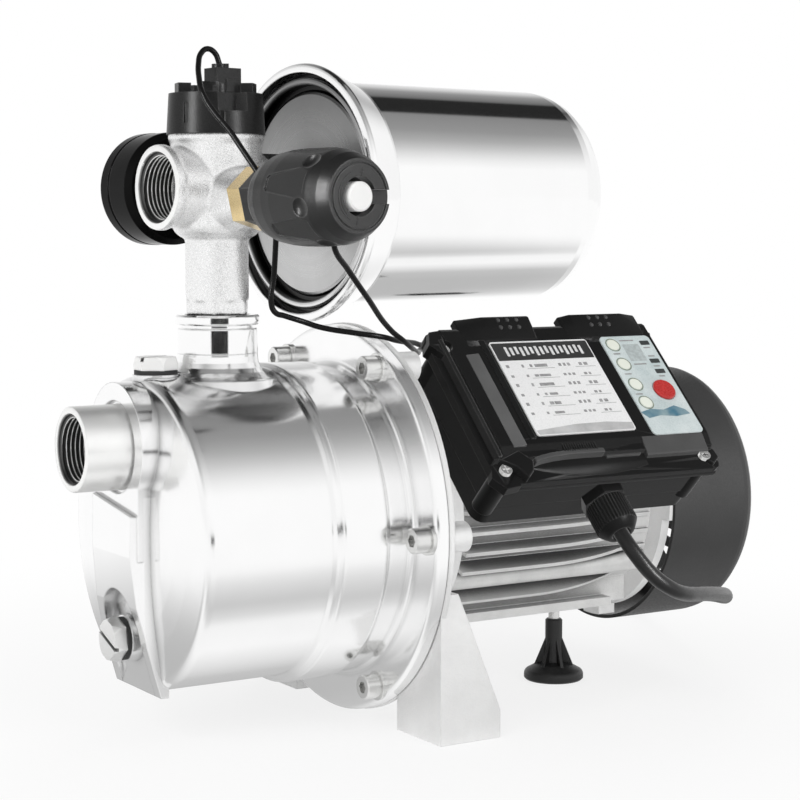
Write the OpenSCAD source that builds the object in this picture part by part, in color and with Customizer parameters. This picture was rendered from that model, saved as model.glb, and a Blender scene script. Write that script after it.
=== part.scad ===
// Automatic booster pump: a self-priming jet pump with its motor, pressure tank,
// five-way fitting, pressure switch, flow switch, gauge and control box.
// Millimetres, +Z up. The pump axis runs along X, with the suction nose at -X.
// Shapes are drawn from the rim of the nose (x = 0), the pump axis (y = 0) and the
// floor (z = 0). placed() then moves the origin under the middle of the whole pump.

/* [Whole pump] */
// Height of the shaft axis above the floor
axis_h = 102; // [96:1:125]
// Turn of the five-way fitting about the discharge pipe, in degrees
branch_turn = 6; // [0:1:12]

/* [Pump casing] */
// Outer radius of the nose
casing_r = 77; // [72:0.5:80]
// From the nose rim to the flange face
casing_len = 110; // [100:1:140]
// Sheet thickness of the pressed stainless parts
sheet_t = 2; // [1.5:0.1:2.6]
// How far the nose domes out
dome_h = 6; // [3:0.5:9]
// Radius of the raised bead
bead_r = 81; // [80.6:0.1:82]
// Length of the raised bead
bead_len = 25; // [18:1:28]
// Outer radius of the clamped flange
flange_r = 99.5; // [99:0.5:104]
// Depth of the rolled flange lip
lip_depth = 7; // [6:0.5:9]

/* [Suction nose] */
// Radius of the round boss that carries the suction pipe
boss_r = 31.5; // [29:0.5:33]
// Height of the suction axis above the shaft axis
suction_up = 43; // [41:0.5:45]
// How far the boss stands out of the nose rim
boss_out = 11; // [9:0.5:13]
// Outer radius of the suction pipe
suction_r = 20.75; // [19:0.25:22]
// How far the suction mouth stands out of the nose rim
suction_out = 34; // [28:1:40]
// Minor radius of the one-inch pipe thread
thread_r = 15.15; // [14:0.05:16]
// Length of the one-inch pipe thread
thread_len = 20; // [16:1:22]
// Half width of the spine under the boss
spine_half_w = 25.5; // [24:0.5:27]

/* [Plugs] */
// Width over flats of the plug hexagons
plug_af = 19; // [17:0.5:21]
// Height of a plug head
plug_head_h = 6.5; // [5:0.5:8]
// Radius of a plug shank
plug_r = 6.6; // [6:0.1:7.5]
// Thickness of a plug's sealing ring
plug_seal_t = 2; // [1.5:0.1:2.5]
// From the nose rim to the priming plug
priming_x = 11; // [10:0.5:14]
// Height of the drain plug below the shaft axis
drain_down = 51; // [48:0.5:53]

/* [Flange bolts] */
// Number of flange bolts
bolt_count = 6; // [4:1:8]
// Radius of the bolt circle
bolt_circle_r = 92; // [91:0.5:92.5]
// Radius of the bolt shank
bolt_r = 4; // [3:0.5:4.5]
// Radius of the socket head
bolt_head_r = 6.2; // [5:0.1:6.4]
// Height of the socket head
bolt_head_h = 8; // [6:0.5:9]
// Thickness of the washer
washer_t = 1.6; // [1:0.1:2]

/* [Jet and impeller] */
// Outer radius of the impeller
impeller_r = 55; // [48:1:58]
// Number of impeller blades
blade_count = 6; // [5:1:8]
// Radius of the impeller eye
eye_r = 15; // [13:0.5:16]
// Throat radius of the venturi tube
throat_r = 6; // [5:0.5:7]
// Outlet radius of the jet nozzle
jet_r = 3.2; // [2.5:0.1:4]
// Length of the venturi tube in front of the diffuser
venturi_len = 42; // [36:1:48]

/* [Bracket] */
// Length of the bracket behind the flange seam
bracket_len = 35; // [35:1:44]
// Radius of the bracket rim
bracket_rim_r = 100; // [99.5:0.5:105]
// From the pump axis to the middle of each foot
foot_y = 72; // [68:1:76]
// Width of each foot
foot_w = 40; // [34:1:42]
// Thickness of the foot plates
foot_plate_t = 14; // [10:1:18]
// Radius of the foot holes
foot_hole_r = 4.25; // [3.5:0.25:5]

/* [Motor] */
// Length of the finned housing
motor_len = 126; // [120:1:150]
// Outer radius over the fins
fin_r = 62; // [60:0.5:65]
// Outer radius of the housing tube
tube_r = 51.5; // [51:0.5:54]
// Wall of the housing tube
tube_wall = 4; // [3:0.5:5]
// Angle between two fins, in degrees
fin_step = 10; // [9:1:15]
// Thickness of a fin
fin_t = 1.9; // [1.6:0.1:3]
// Radius of the rotor
rotor_r = 30; // [26:0.5:32]
// Air gap between rotor and stator
air_gap = 0.5; // [0.3:0.1:1]
// Length of the stator pack
stator_len = 60; // [50:1:70]
// Radius of the shaft
shaft_r = 7.5; // [6.5:0.25:8]
// Radius of the shaft's two turned-down ends
shaft_end_r = 6; // [5:0.25:6.25]
// Outer radius of a ball bearing
bearing_r = 17.5; // [16:0.5:19]
// Width of a ball bearing
bearing_w = 11; // [9:0.5:12]
// Radius of the fan cover
cover_r = 70; // [69:0.5:74]
// Length of the fan cover
cover_len = 59; // [54:1:70]
// Wall of the fan cover
cover_t = 2; // [1.5:0.1:2.5]
// Number of fan blades
fan_blades = 8; // [6:1:10]

/* [Levelling foot] */
// From the flange seam to the levelling foot
level_x = 135; // [130:0.5:142]
// Radius of the rubber foot
rubber_r = 16.5; // [14:0.5:20]
// Height of the rubber foot
rubber_h = 34; // [28:1:36]
// Radius of the levelling stud
stud_r = 3; // [2.5:0.25:4]

/* [Control box] */
// Tilt of the box about the shaft axis, in degrees
box_tilt = 45; // [40:1:50]
// From the shaft axis to the underside of the box
box_low = 60.5; // [60.5:0.5:64]
// From the underside of the box to its deck
box_h = 41; // [38:0.5:50]
// Length of the box along the motor
box_len = 138; // [130:1:145]
// Width of the box across the tilt
box_w = 94; // [90:1:100]
// Wall of the box
box_wall = 2.5; // [2:0.1:3]
// Radius of the start button
button_r = 6.4; // [5:0.1:7]
// How far the start button travels
button_travel = 1.2; // [0.8:0.1:1.6]

/* [Cord] */
// Diameter of the mains cord
cord_d = 7.6; // [7:0.1:8]
// Diameter of the sensor and switch leads
lead_d = 2.8; // [2.4:0.1:3.6]

/* [Discharge and five-way fitting] */
// From the nose rim to the discharge pipe
pipe_x = 44.7; // [42:0.5:48]
// Radius of the discharge pipe
pipe_r = 19.85; // [18:0.25:21]
// From the shaft axis to the top of the discharge pipe
pipe_up = 106; // [103:1:112]
// From the top of the discharge pipe to the outlet axis
branch_up = 62; // [58:1:66]
// Outer radius of the outlet branch
outlet_r = 20.7; // [19.5:0.1:22]
// From the pipe axis to the outlet mouth
outlet_out = 34.2; // [30:0.2:38]
// Radius of the fitting's stem
stem_r = 15.6; // [14:0.2:17]
// Radius of the fitting's upright barrel
barrel_r = 22.5; // [21:0.1:23]

/* [Flow switch] */
// Radius of the cap at its foot
cap_r = 24.3; // [23.6:0.1:26]
// Height of the cap
cap_h = 20; // [18:0.5:24]
// Lift of the flow poppet
poppet_lift = 10; // [6:0.5:11]

/* [Pressure gauge] */
// Radius of the gauge case
gauge_r = 28.5; // [26:0.5:31]
// Depth of the gauge case
gauge_depth = 27; // [22:0.5:30]

/* [Pressure switch] */
// Largest radius of the switch housing
switch_r = 22.6; // [21:0.2:24]
// From the pipe axis to the end of the switch housing
switch_out = 118; // [112:0.5:124]
// Radius of the adjusting pin
pin_r = 6.75; // [5.5:0.25:7]

/* [Pressure tank] */
// Radius of the tank
tank_r = 57; // [52:0.5:58]
// Radius of the tank's rolled front rim
tank_rim_r = 65.5; // [64:0.5:68]
// From the pipe axis to the front rim
tank_front = 49; // [47:0.5:56]
// Length of the tank behind the front rim
tank_len = 172; // [150:1:210]
// Radius of the tank's rear corner
tank_corner = 22; // [16:0.5:28]
// Sheet thickness of the tank
tank_t = 1.5; // [1:0.1:2]

/* [Hidden] */
$fn = 64;
// Gap that keeps pieces on different bodies apart.
apart = 0.3;
// Running clearance of a shaft or pin in its bore, on the radius.
running = 0.05;
// Clearance of a fixed piece in its seat, on the radius.
seated = 0.05;
// A cut runs this far past the face it opens.
past = 1;

nose_fillet = 5;
seam_x = casing_len + lip_depth + apart;
casing_wall_x = casing_len + sheet_t;
bead_x = casing_len - 40;
neck_r = casing_r + 1.5;
inner_neck_r = neck_r - sheet_t;
web_x = seam_x - 3;
rim_back_x = seam_x + 3.2;
bracket_x = seam_x + bracket_len;
// The bracket's rear collar clears the underside of the control box.
cone_r = box_low - 1;
motor_end = bracket_x + motor_len;
shield_back = motor_end + 5;
cover_x = motor_end + 2;
cover_end = cover_x + cover_len;
tube_bore = tube_r - tube_wall;
stator_bore = rotor_r + air_gap;
stator_x = bracket_x + 23;
bearing_front_x = bracket_x - 6;
bearing_rear_x = motor_end - 16;
suction_z = axis_h + suction_up;
drain_z = axis_h - drain_down;
pipe_top = axis_h + pipe_up;
saddle_top = pipe_top - 19;
branch_z = pipe_top + branch_up;
outlet_z = branch_z;
switch_z = branch_z - 5.5;
gauge_z = branch_z + 0.5;
tank_z = branch_z - 2;
barrel_top = branch_z + 26;
level_pos = seam_x + level_x;
belly_z = axis_h - 55;
boss_z = belly_z - 0.2;
deck_n = box_low + box_h;
lid_n = deck_n - 10;
box_x0 = seam_x + 21;
box_v0 = -55.8;
bolt_first = 30;
bolt_angles = [for (i = [0:bolt_count - 1]) bolt_first + i * 360 / bolt_count];
tie_circle_r = tube_r + 1.5;
tie_lug_r = 6;
tie_r = 2.5;
tie_angles = [35, 125, 215, 305];
tank_end_x = tank_front + tank_len;

// The origin lies under the middle of the whole pump, cord aside.
switch_low = -switch_out * cos(branch_turn) - (switch_r - 5.1) * sin(branch_turn);
box_corner_n = deck_n + 2;
box_low_y = (box_v0 - 6) * cos(box_tilt) - box_corner_n * sin(box_tilt);
mid_x = (cover_end - suction_out) / 2;
mid_y = (bracket_rim_r + min(switch_low, box_low_y)) / 2;

// Frames

module placed() {
    translate([-mid_x, -mid_y, 0]) children();
}

// Local +Z runs along the pump from x, local -X points up.
module along(x) {
    placed() translate([x, 0, axis_h]) rotate([0, 90, 0]) children();
}

// Places children on a circle about the pump axis, turned from the top towards -Y.
module around(x, radius, turns) {
    along(x) for (t = turns) rotate([0, 0, t]) translate([-radius, 0, 0]) children();
}

// Local x along the motor, local y across the tilted box, local z out of its deck.
module on_box() {
    placed() translate([0, 0, axis_h]) rotate([box_tilt, 0, 0]) children();
}

// Local frame of the five-way fitting: origin on the pipe axis at height z.
module on_branch(z) {
    placed() translate([pipe_x, 0, z]) rotate([0, 0, branch_turn]) children();
}

// Local +Z along the tank, away from the outlet mouth.
module along_tank(z) {
    on_branch(z) rotate([0, 90, 0]) children();
}

// Local +Z along the pressure switch, towards the front.
module along_switch() {
    on_branch(switch_z) rotate([90, 0, 0]) children();
}

// Local +Z along the gauge, towards the back.
module along_gauge() {
    on_branch(gauge_z) rotate([-90, 0, 0]) children();
}

// Shapes shared by several pieces

module tube(h, outer, inner) {
    difference() {
        cylinder(h = h, r = outer);
        translate([0, 0, -past]) cylinder(h = h + 2 * past, r = inner);
    }
}

module ring(x0, x1, outer, inner) {
    along(x0) tube(x1 - x0, outer, inner);
}

module hexagon(h, flats) {
    cylinder(h = h, r = flats / sqrt(3), $fn = 6);
}

module rounded_rect(x0, x1, y0, y1, r) {
    translate([x0 + r, y0]) square([x1 - x0 - 2 * r, y1 - y0]);
    translate([x0, y0 + r]) square([x1 - x0, y1 - y0 - 2 * r]);
    for (x = [x0 + r, x1 - r]) for (y = [y0 + r, y1 - r]) translate([x, y]) circle(r = r);
}

// Points of an arc about [cx, cy], as [x, y] pairs.
function arc(cx, cy, r, a0, a1, n = 5) =
    [for (i = [0:n]) let (a = a0 + (a1 - a0) * i / n) [cx + r * cos(a), cy + r * sin(a)]];

// Pump casing

dome_rim_r = casing_r - nose_fillet;
dome_sphere = (dome_rim_r * dome_rim_r + dome_h * dome_h) / (2 * dome_h);

// Profile of the pressed casing as [radius, x], grown inwards by t.
function casing_profile(t) = concat(
    [for (i = [0:6]) let (r = dome_rim_r * i / 6)
        [r, t + dome_sphere - dome_h - sqrt(dome_sphere * dome_sphere - r * r)]],
    arc(dome_rim_r, nose_fillet, nose_fillet - t, -90, 0, 6),
    [[casing_r - t, bead_x - 4],
     [casing_r - t + 1.8, bead_x - 2.3],
     [casing_r - t + 2.2, bead_x - 1]],
    arc(bead_r - t - 1.8, bead_x + 1.8, 1.8, -60, 0, 3),
    arc(bead_r - t - 2, bead_x + bead_len - 2, 2, 0, 70, 3),
    [[neck_r - t, bead_x + bead_len + 2]]);

module nose_spine() {
    front = 14;
    ledge_z = suction_z - 28;
    foot_z = axis_h - casing_r;
    difference() {
        intersection() {
            rotate([90, 0, 0]) linear_extrude(height = 2 * spine_half_w + 2, center = true)
                polygon([[4, foot_z], [0, foot_z], [-2.5, foot_z + 8.5], [-7, foot_z + 25],
                    [-11.4, foot_z + 44], [-front, foot_z + 69], [-front + 0.6, ledge_z + 6],
                    [4, ledge_z + 6]]);
            translate([0, 0, foot_z - past]) linear_extrude(height = 110)
                polygon([[6, -spine_half_w - 1], [-8, -spine_half_w], [-front - 1, -spine_half_w + 4],
                    [-front - 1, spine_half_w - 4], [-8, spine_half_w], [6, spine_half_w + 1]]);
        }
        // The ledge under the boss falls slightly towards the front side.
        translate([-30, 0, ledge_z]) rotate([8.5, 0, 0]) translate([0, -40, 0])
            cube([30 - boss_out, 80, 40]);
        translate([-30, 0, drain_z + 6]) rotate([0, 90, 0]) cylinder(h = 30, r = 19);
        translate([-30, -19, 0]) cube([30, 38, drain_z + 6]);
    }
    translate([-boss_out, 0, suction_z]) rotate([0, 90, 0]) cylinder(h = boss_out + 4, r = boss_r);
    translate([-boss_out, -spine_half_w, axis_h - 10])
        cube([boss_out + 4, 2 * spine_half_w, suction_up + 10]);
}

module pump_casing() {
    plug_hole = plug_r + seated;
    flare_r = 11;
    color([0.83, 0.83, 0.82]) difference() {
        union() {
            along(0) rotate_extrude() polygon(concat(casing_profile(0),
                arc(neck_r + 3, casing_len - 3, 3, 180, 90, 4),
                arc(flange_r - 2.5, casing_len + 2.5, 2.5, -90, 0, 4),
                [[flange_r, casing_len + lip_depth], [0, casing_len + lip_depth]]));
            placed() nose_spine();
            placed() translate([0, 0, drain_z]) rotate([0, 90, 0])
                translate([0, 0, -8]) cylinder(h = 12, r = 11.5);
            placed() translate([priming_x, 0, axis_h + casing_r - 8]) cylinder(h = 8.6, r = 11.5);
            // The pulled saddle that carries the discharge pipe.
            placed() translate([pipe_x, 0, axis_h]) rotate_extrude() polygon(concat(
                [[0, 0], [pipe_r + flare_r + 2, 0], [pipe_r + flare_r + 2, casing_r - 7]],
                arc(pipe_r + flare_r, saddle_top - axis_h - 1.4, flare_r, 270, 180, 6),
                [[pipe_r, saddle_top - axis_h], [0, saddle_top - axis_h]]));
        }
        along(0) rotate_extrude() polygon(concat(casing_profile(sheet_t),
            [[inner_neck_r, casing_len + 20], [0, casing_len + 20]]));
        ring(casing_wall_x, casing_len + 20, flange_r - sheet_t, 5);
        placed() translate([-boss_out - 9, 0, suction_z]) rotate([0, 90, 0])
            cylinder(h = boss_out + 20, r = suction_r + seated);
        placed() translate([-boss_out - past, 0, suction_z]) rotate([0, 90, 0])
            cylinder(h = past + 2, r = suction_r + 2);
        placed() translate([pipe_x, 0, axis_h + 20]) cylinder(h = 100, r = pipe_r - 3.5);
        placed() translate([-20, 0, drain_z]) rotate([0, 90, 0]) cylinder(h = 30, r = plug_hole);
        placed() translate([priming_x, 0, axis_h + casing_r - 15]) cylinder(h = 30, r = plug_hole);
        around(casing_len - 5, bolt_circle_r, bolt_angles) cylinder(h = 20, r = bolt_r + 0.2);
    }
}

module suction_port() {
    chamfer = 1.5;
    color([0.80, 0.79, 0.77]) placed() translate([-suction_out, 0, suction_z]) rotate([0, 90, 0])
        difference() {
            rotate_extrude() polygon([[thread_r - 2, 0], [suction_r - 1, 0], [suction_r, 1],
                [suction_r, suction_out], [thread_r - 2, suction_out]]);
            translate([0, 0, -past]) cylinder(h = thread_len + past, r = thread_r);
            translate([0, 0, -0.01]) cylinder(h = chamfer, r1 = thread_r + chamfer, r2 = thread_r);
        }
}

module discharge_port() {
    collar_h = 5;
    collar_r = pipe_r + 1;
    groove_h = 1.6;
    groove_r = pipe_r - 2;
    len = pipe_top - saddle_top;
    color([0.86, 0.86, 0.86]) placed() translate([pipe_x, 0, saddle_top]) difference() {
        rotate_extrude() polygon([[0, 0], [pipe_r, 0],
            [pipe_r, len - collar_h - groove_h - 0.5], [pipe_r - 0.5, len - collar_h - groove_h],
            [groove_r, len - collar_h - groove_h], [groove_r, len - collar_h],
            [collar_r - 0.7, len - collar_h], [collar_r, len - collar_h + 0.7],
            [collar_r, len - 0.9], [collar_r - 0.9, len], [0, len]]);
        translate([0, 0, -past]) cylinder(h = 40, r = pipe_r - 3.5);
    }
}

// A hexagon-headed plug with a screwdriver slot. Its seal lies on z = 0.
module hex_plug() {
    shank_len = 10;
    difference() {
        union() {
            translate([0, 0, plug_seal_t]) intersection() {
                hexagon(plug_head_h, plug_af);
                cylinder(h = plug_head_h, r1 = plug_af / 2 + 2.2, r2 = plug_af / 2 + 0.3);
            }
            translate([0, 0, -shank_len]) cylinder(h = shank_len + plug_seal_t, r = plug_r);
        }
        translate([-plug_af, -1, plug_seal_t + plug_head_h - 2]) cube([2 * plug_af, 2, 3]);
    }
}

module priming_plug() {
    color([0.82, 0.81, 0.79]) placed() translate([priming_x, 0, axis_h + casing_r + 0.6])
        rotate([0, 0, 25]) hex_plug();
}

module drain_plug() {
    color([0.80, 0.79, 0.77]) placed() translate([-8, 0, drain_z]) rotate([0, -90, 0])
        rotate([0, 0, 70]) hex_plug();
}

module plug_seals() {
    color([0.05, 0.05, 0.05]) placed() {
        translate([priming_x, 0, axis_h + casing_r + 0.6]) tube(plug_seal_t, 10.6, plug_r + seated);
        translate([-8, 0, drain_z]) rotate([0, -90, 0]) tube(plug_seal_t, 10.6, plug_r + seated);
    }
}

// Jet pump parts inside the casing

diffuser_x = seam_x - 33;
impeller_x = diffuser_x + 4.7;
venturi_x = diffuser_x - venturi_len;
cage_r = throat_r + 8;

module ejector_nozzle() {
    color([0.2, 0.2, 0.22]) along(venturi_x - 16) difference() {
        union() {
            cylinder(h = 4, r = cage_r - 4 - seated);
            translate([0, 0, 4]) cylinder(h = 15, r1 = cage_r - 5, r2 = jet_r + 1.6);
        }
        translate([0, 0, -past]) cylinder(h = 18 + past, r1 = cage_r - 7, r2 = jet_r);
        translate([0, 0, 16]) cylinder(h = 10, r = jet_r);
    }
}

module venturi_tube() {
    color([0.15, 0.15, 0.17]) {
        along(venturi_x) difference() {
            rotate_extrude() polygon([[0, 0], [throat_r + 5, 0], [throat_r + 3, 8], [throat_r + 3, 18],
                [eye_r + 0.5, venturi_len - 4], [eye_r + 4, venturi_len - 4],
                [eye_r + 4, venturi_len], [0, venturi_len]]);
            translate([0, 0, -0.01]) cylinder(h = 8, r1 = throat_r + 3.5, r2 = throat_r);
            translate([0, 0, 7]) cylinder(h = 10, r = throat_r);
            translate([0, 0, 16.9]) cylinder(h = venturi_len - 16.8, r1 = throat_r, r2 = eye_r - 2);
        }
        // The cage that holds the nozzle in front of the throat.
        along(venturi_x - 16) tube(4, cage_r, cage_r - 4);
        along(venturi_x - 12.5) for (t = [0:120:240]) rotate([0, 0, t])
            translate([cage_r - 3.2, -2, 0]) cube([3, 4, 13]);
    }
}

module diffuser() {
    vane_count = 7;
    color([0.18, 0.18, 0.2]) {
        along(diffuser_x) difference() {
            cylinder(h = web_x - diffuser_x, r = 68);
            translate([0, 0, 3]) cylinder(h = web_x, r = 66);
            translate([0, 0, -past]) cylinder(h = 10, r = eye_r + 2.2 + apart);
        }
        along(diffuser_x) for (t = [0:360 / vane_count:359]) rotate([0, 0, t])
            translate([0, 0, 2.5]) intersection() {
                translate([impeller_r + 3, -24, 0]) rotate([0, 0, 24]) cube([1.8, 26, 20]);
                tube(20, 67, impeller_r + 2);
            }
    }
}

module impeller() {
    hub_r = shaft_end_r + 4.5;
    blade_t = 1.8;
    blade_arc_r = impeller_r * 0.62;
    color([0.72, 0.55, 0.28]) {
        along(impeller_x) {
            translate([0, 0, 9]) tube(2.2, impeller_r, shaft_end_r + running);
            translate([0, 0, 1]) tube(12.8, hub_r, shaft_end_r + running);
            tube(1.8, impeller_r, eye_r);
            translate([0, 0, -4]) tube(4.5, eye_r + 2, eye_r);
            // Backward-curved blades between the two shrouds.
            for (i = [0:blade_count - 1]) rotate([0, 0, i * 360 / blade_count])
                translate([0, 0, 1.5]) linear_extrude(height = 7.8) intersection() {
                    difference() {
                        circle(r = impeller_r - 0.5);
                        circle(r = eye_r - 1);
                    }
                    translate([impeller_r - 20, -blade_arc_r + 12]) difference() {
                        circle(r = blade_arc_r + blade_t);
                        circle(r = blade_arc_r);
                        translate([-80, -100]) square([160, 100]);
                        translate([12, -50]) square([100, 120]);
                    }
                }
        }
    }
}

module seal_seat() {
    color([0.88, 0.87, 0.84]) ring(web_x - 0.5, web_x + 5.5, 14, shaft_r + 1.5);
}

module seal_head() {
    color([0.3, 0.3, 0.32]) {
        ring(web_x - 4.5, web_x - 0.5 - apart, 12.5, shaft_r + running);
        ring(web_x - 7.5, web_x - 4.5, 11, shaft_r + running);
    }
}

module casing_gasket() {
    color([0.06, 0.06, 0.06]) difference() {
        ring(casing_wall_x, web_x, flange_r - sheet_t - 0.4, inner_neck_r + 3);
        around(casing_wall_x - 5, bolt_circle_r, bolt_angles) cylinder(h = 20, r = bolt_r + 0.2);
    }
}

module casing_bolts() {
    grip = 19;
    color([0.82, 0.82, 0.8]) around(casing_len - washer_t, bolt_circle_r, bolt_angles)
        difference() {
            union() {
                translate([0, 0, -bolt_head_h + 0.6]) cylinder(h = bolt_head_h - 0.6, r = bolt_head_r);
                translate([0, 0, -bolt_head_h])
                    cylinder(h = 0.6, r1 = bolt_head_r - 0.6, r2 = bolt_head_r);
                cylinder(h = grip + washer_t, r = bolt_r);
            }
            translate([0, 0, -bolt_head_h - past]) hexagon(4.5 + past, 5.6);
        }
}

module casing_washers() {
    color([0.84, 0.84, 0.83]) around(casing_len - washer_t, bolt_circle_r, bolt_angles)
        tube(washer_t, bolt_head_r + 1.3, bolt_r + 0.2);
}

// Bracket and motor

// Side view of a foot as [x, z].
foot_side = [[seam_x, 0], [bracket_x, 0], [bracket_x, foot_plate_t], [seam_x + 16, 60],
    [seam_x + 10, axis_h - 28], [seam_x, axis_h - 28]];

module foot_block(y, w) {
    translate([0, y + w / 2, 0]) rotate([90, 0, 0]) linear_extrude(height = w) children();
}

module pump_bracket() {
    wall = 6;
    hub_r = bearing_r + 5.5;
    lug_x = bracket_x - 14;
    color([0.86, 0.86, 0.85]) difference() {
        union() {
            difference() {
                union() {
                    along(web_x) rotate_extrude() polygon([[0, 0], [flange_r - sheet_t - 0.3, 0],
                        [flange_r - sheet_t - 0.3, 3], [bracket_rim_r - 0.6, 3],
                        [bracket_rim_r, 3.6], [bracket_rim_r, rim_back_x - web_x - 0.6],
                        [bracket_rim_r - 0.6, rim_back_x - web_x], [92, rim_back_x - web_x],
                        [70, bracket_x - 17 - web_x], [cone_r, bracket_x - 9 - web_x],
                        [cone_r, bracket_x - web_x], [0, bracket_x - web_x]]);
                    around(rim_back_x - 1, bolt_circle_r, bolt_angles) cylinder(h = 11, r = 7.5);
                }
                // The hollow cone behind the pump wall, and the open rear.
                along(rim_back_x + 2) rotate_extrude() polygon([[0, 0], [88 - wall, 0],
                    [70 - wall, bracket_x - 17 - rim_back_x - 2], [cone_r - wall, bracket_x - 9 - rim_back_x],
                    [cone_r - wall, bracket_len + past], [0, bracket_len + past]]);
            }
            // Seal hub, bearing hub and the webs that join them to the cone.
            ring(web_x, web_x + 11, 20, 5);
            ring(bearing_front_x - 3, bracket_x, hub_r, 5);
            ring(bearing_front_x - 3, bearing_front_x + 2, cone_r - wall + 1, hub_r - 1);
            around(lug_x, tie_circle_r, tie_angles) cylinder(h = bracket_x - lug_x - 0.5, r = tie_lug_r);
            placed() for (side = [-1, 1]) difference() {
                foot_block(side * foot_y, foot_w) polygon(foot_side);
                // Each foot is cast hollow from behind.
                foot_block(side * foot_y, foot_w - 2 * wall) polygon([
                    [seam_x + 8, foot_plate_t], [bracket_x + 9, foot_plate_t],
                    [bracket_x + 9, 90], [seam_x + 8, 90]]);
            }
        }
        along(web_x - past) cylinder(h = past + 5.5 + seated, r = 14 + seated);
        along(web_x - past) cylinder(h = 30, r = shaft_r + 1.5);
        along(bearing_front_x) cylinder(h = 30, r = bearing_r + seated);
        along(bearing_front_x - 4) cylinder(h = 10, r = bearing_r - 4);
        around(casing_len, bolt_circle_r, bolt_angles) cylinder(h = 30, r = bolt_r + seated);
        around(lug_x - past, tie_circle_r, tie_angles) cylinder(h = 30, r = tie_r + seated);
        placed() for (side = [-1, 1]) translate([seam_x + 22, side * foot_y, -past])
            cylinder(h = foot_plate_t + 2 * past, r = foot_hole_r);
        // Drain window under the seal.
        placed() translate([rim_back_x + 3, -16, 20]) cube([11, 32, 45]);
    }
}

fin_turns = [for (t = [-180 + fin_step / 2:fin_step:179]) t];

function near_turn(t, list, span) =
    len([for (m = list) if (abs(((t - m + 540) % 360) - 180) < span) 1]) > 0;

module motor_housing() {
    pad_w = 56;
    belly_w = 80;
    curve_r = 190;
    // Everything outside the tube stops short of its two machined ends, each form by its own step.
    fin_inset = 1;
    pad_inset = 1.4;
    rail_inset = 1.8;
    lug_inset = 0.6;
    color([0.8, 0.8, 0.79]) difference() {
        union() {
            along(bracket_x) cylinder(h = motor_len, r = tube_r);
            // Cooling fins; the lower ones draw in towards the fan in one long curve.
            difference() {
                along(bracket_x + fin_inset) for (t = fin_turns)
                    if (!near_turn(t, tie_angles, 8) && !near_turn(t, [box_tilt], 26) && abs(t) < 141)
                        rotate([0, 0, t]) translate([-fin_r, -fin_t / 2, 0])
                            cube([fin_r - tube_r + 2, fin_t, motor_len - 2 * fin_inset]);
                along(bracket_x + 55) rotate_extrude() difference() {
                    translate([fin_r - 9, 0]) square([20, motor_len]);
                    translate([fin_r - curve_r, 0]) circle(r = curve_r, $fn = 180);
                }
            }
            on_box() translate([bracket_x + pad_inset, -pad_w / 2, 30])
                cube([motor_len - 2 * pad_inset, pad_w, box_low - 30]);
            placed() translate([bracket_x + 2 * pad_inset, -belly_w / 2, belly_z])
                cube([motor_len - 20, belly_w, 4.5]);
            placed() for (side = [-1, 1]) translate([bracket_x + rail_inset, side * 30 - 1.5, belly_z + 0.5])
                cube([motor_len - 2 * rail_inset, 3, 16]);
            placed() translate([level_pos, 0, boss_z]) cylinder(h = 8, r = 12.6);
            placed() translate([bracket_x + 2 * rail_inset, -12, belly_z - 0.1])
                cube([motor_len - 4 * rail_inset, 24, 8]);
            around(bracket_x + lug_inset, tie_circle_r, tie_angles)
                cylinder(h = motor_len - 2 * lug_inset, r = tie_lug_r);
        }
        along(bracket_x - past) cylinder(h = motor_len + 2 * past, r = tube_bore);
        around(bracket_x - past, tie_circle_r, tie_angles)
            cylinder(h = motor_len + 2 * past, r = tie_r + 0.3);
        placed() translate([level_pos, 0, belly_z - past]) cylinder(h = 20, r = stud_r + running);
        // Clearance for the box's four fixing feet.
        on_box() translate([bracket_x + 20, -8, box_low - 6]) cube([motor_len - 40, 16, 20]);
    }
}

module stator_core() {
    slot_count = 24;
    color([0.45, 0.45, 0.47]) along(stator_x) difference() {
        cylinder(h = stator_len, r = tube_bore - seated);
        translate([0, 0, -past]) cylinder(h = stator_len + 2 * past, r = stator_bore);
        for (i = [0:slot_count - 1]) rotate([0, 0, i * 360 / slot_count])
            translate([stator_bore - 0.5, -0.8, -past]) cube([2.2, 1.6, stator_len + 2 * past]);
    }
}

module windings() {
    color([0.65, 0.32, 0.12]) {
        for (x = [stator_x - 12, stator_x + stator_len]) along(x) rotate_extrude()
            polygon([[stator_bore + 3.5, 0], [tube_bore - 4, 1.5], [tube_bore - 3.5, 6],
                [tube_bore - 4, 12], [stator_bore + 3.5, 12]]);
    }
}

module rotor_core() {
    bar_count = 16;
    color([0.5, 0.5, 0.52]) {
        ring(stator_x, stator_x + stator_len, rotor_r, shaft_r + running);
        for (x = [stator_x - 4, stator_x + stator_len]) ring(x, x + 4, rotor_r - 1, rotor_r - 9);
        for (x = [stator_x - 8, stator_x + stator_len + 4]) along(x)
            for (i = [0:bar_count / 2 - 1]) rotate([0, 0, i * 720 / bar_count])
                translate([rotor_r - 7, -1, 0]) cube([4, 2, 4]);
    }
}

module motor_shaft() {
    color([0.62, 0.62, 0.64]) {
        along(impeller_x - 3) difference() {
            rotate_extrude() polygon([[0, 0], [shaft_end_r - 1, 0], [shaft_end_r, 1],
                [shaft_end_r, web_x - 8 - impeller_x + 3], [shaft_r, web_x - 8 - impeller_x + 3],
                [shaft_r, shield_back - 7 - impeller_x + 3],
                [shaft_end_r, shield_back - 7 - impeller_x + 3],
                [shaft_end_r, shield_back + 24 - impeller_x + 3],
                [0, shield_back + 24 - impeller_x + 3]]);
            translate([0, 0, -past]) hexagon(6, 5);
        }
        // Impeller key and the nut in the eye.
        along(impeller_x - 3.6) tube(0.6 + 3.5, shaft_end_r + 2.5, shaft_end_r - 0.5);
    }
}

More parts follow.
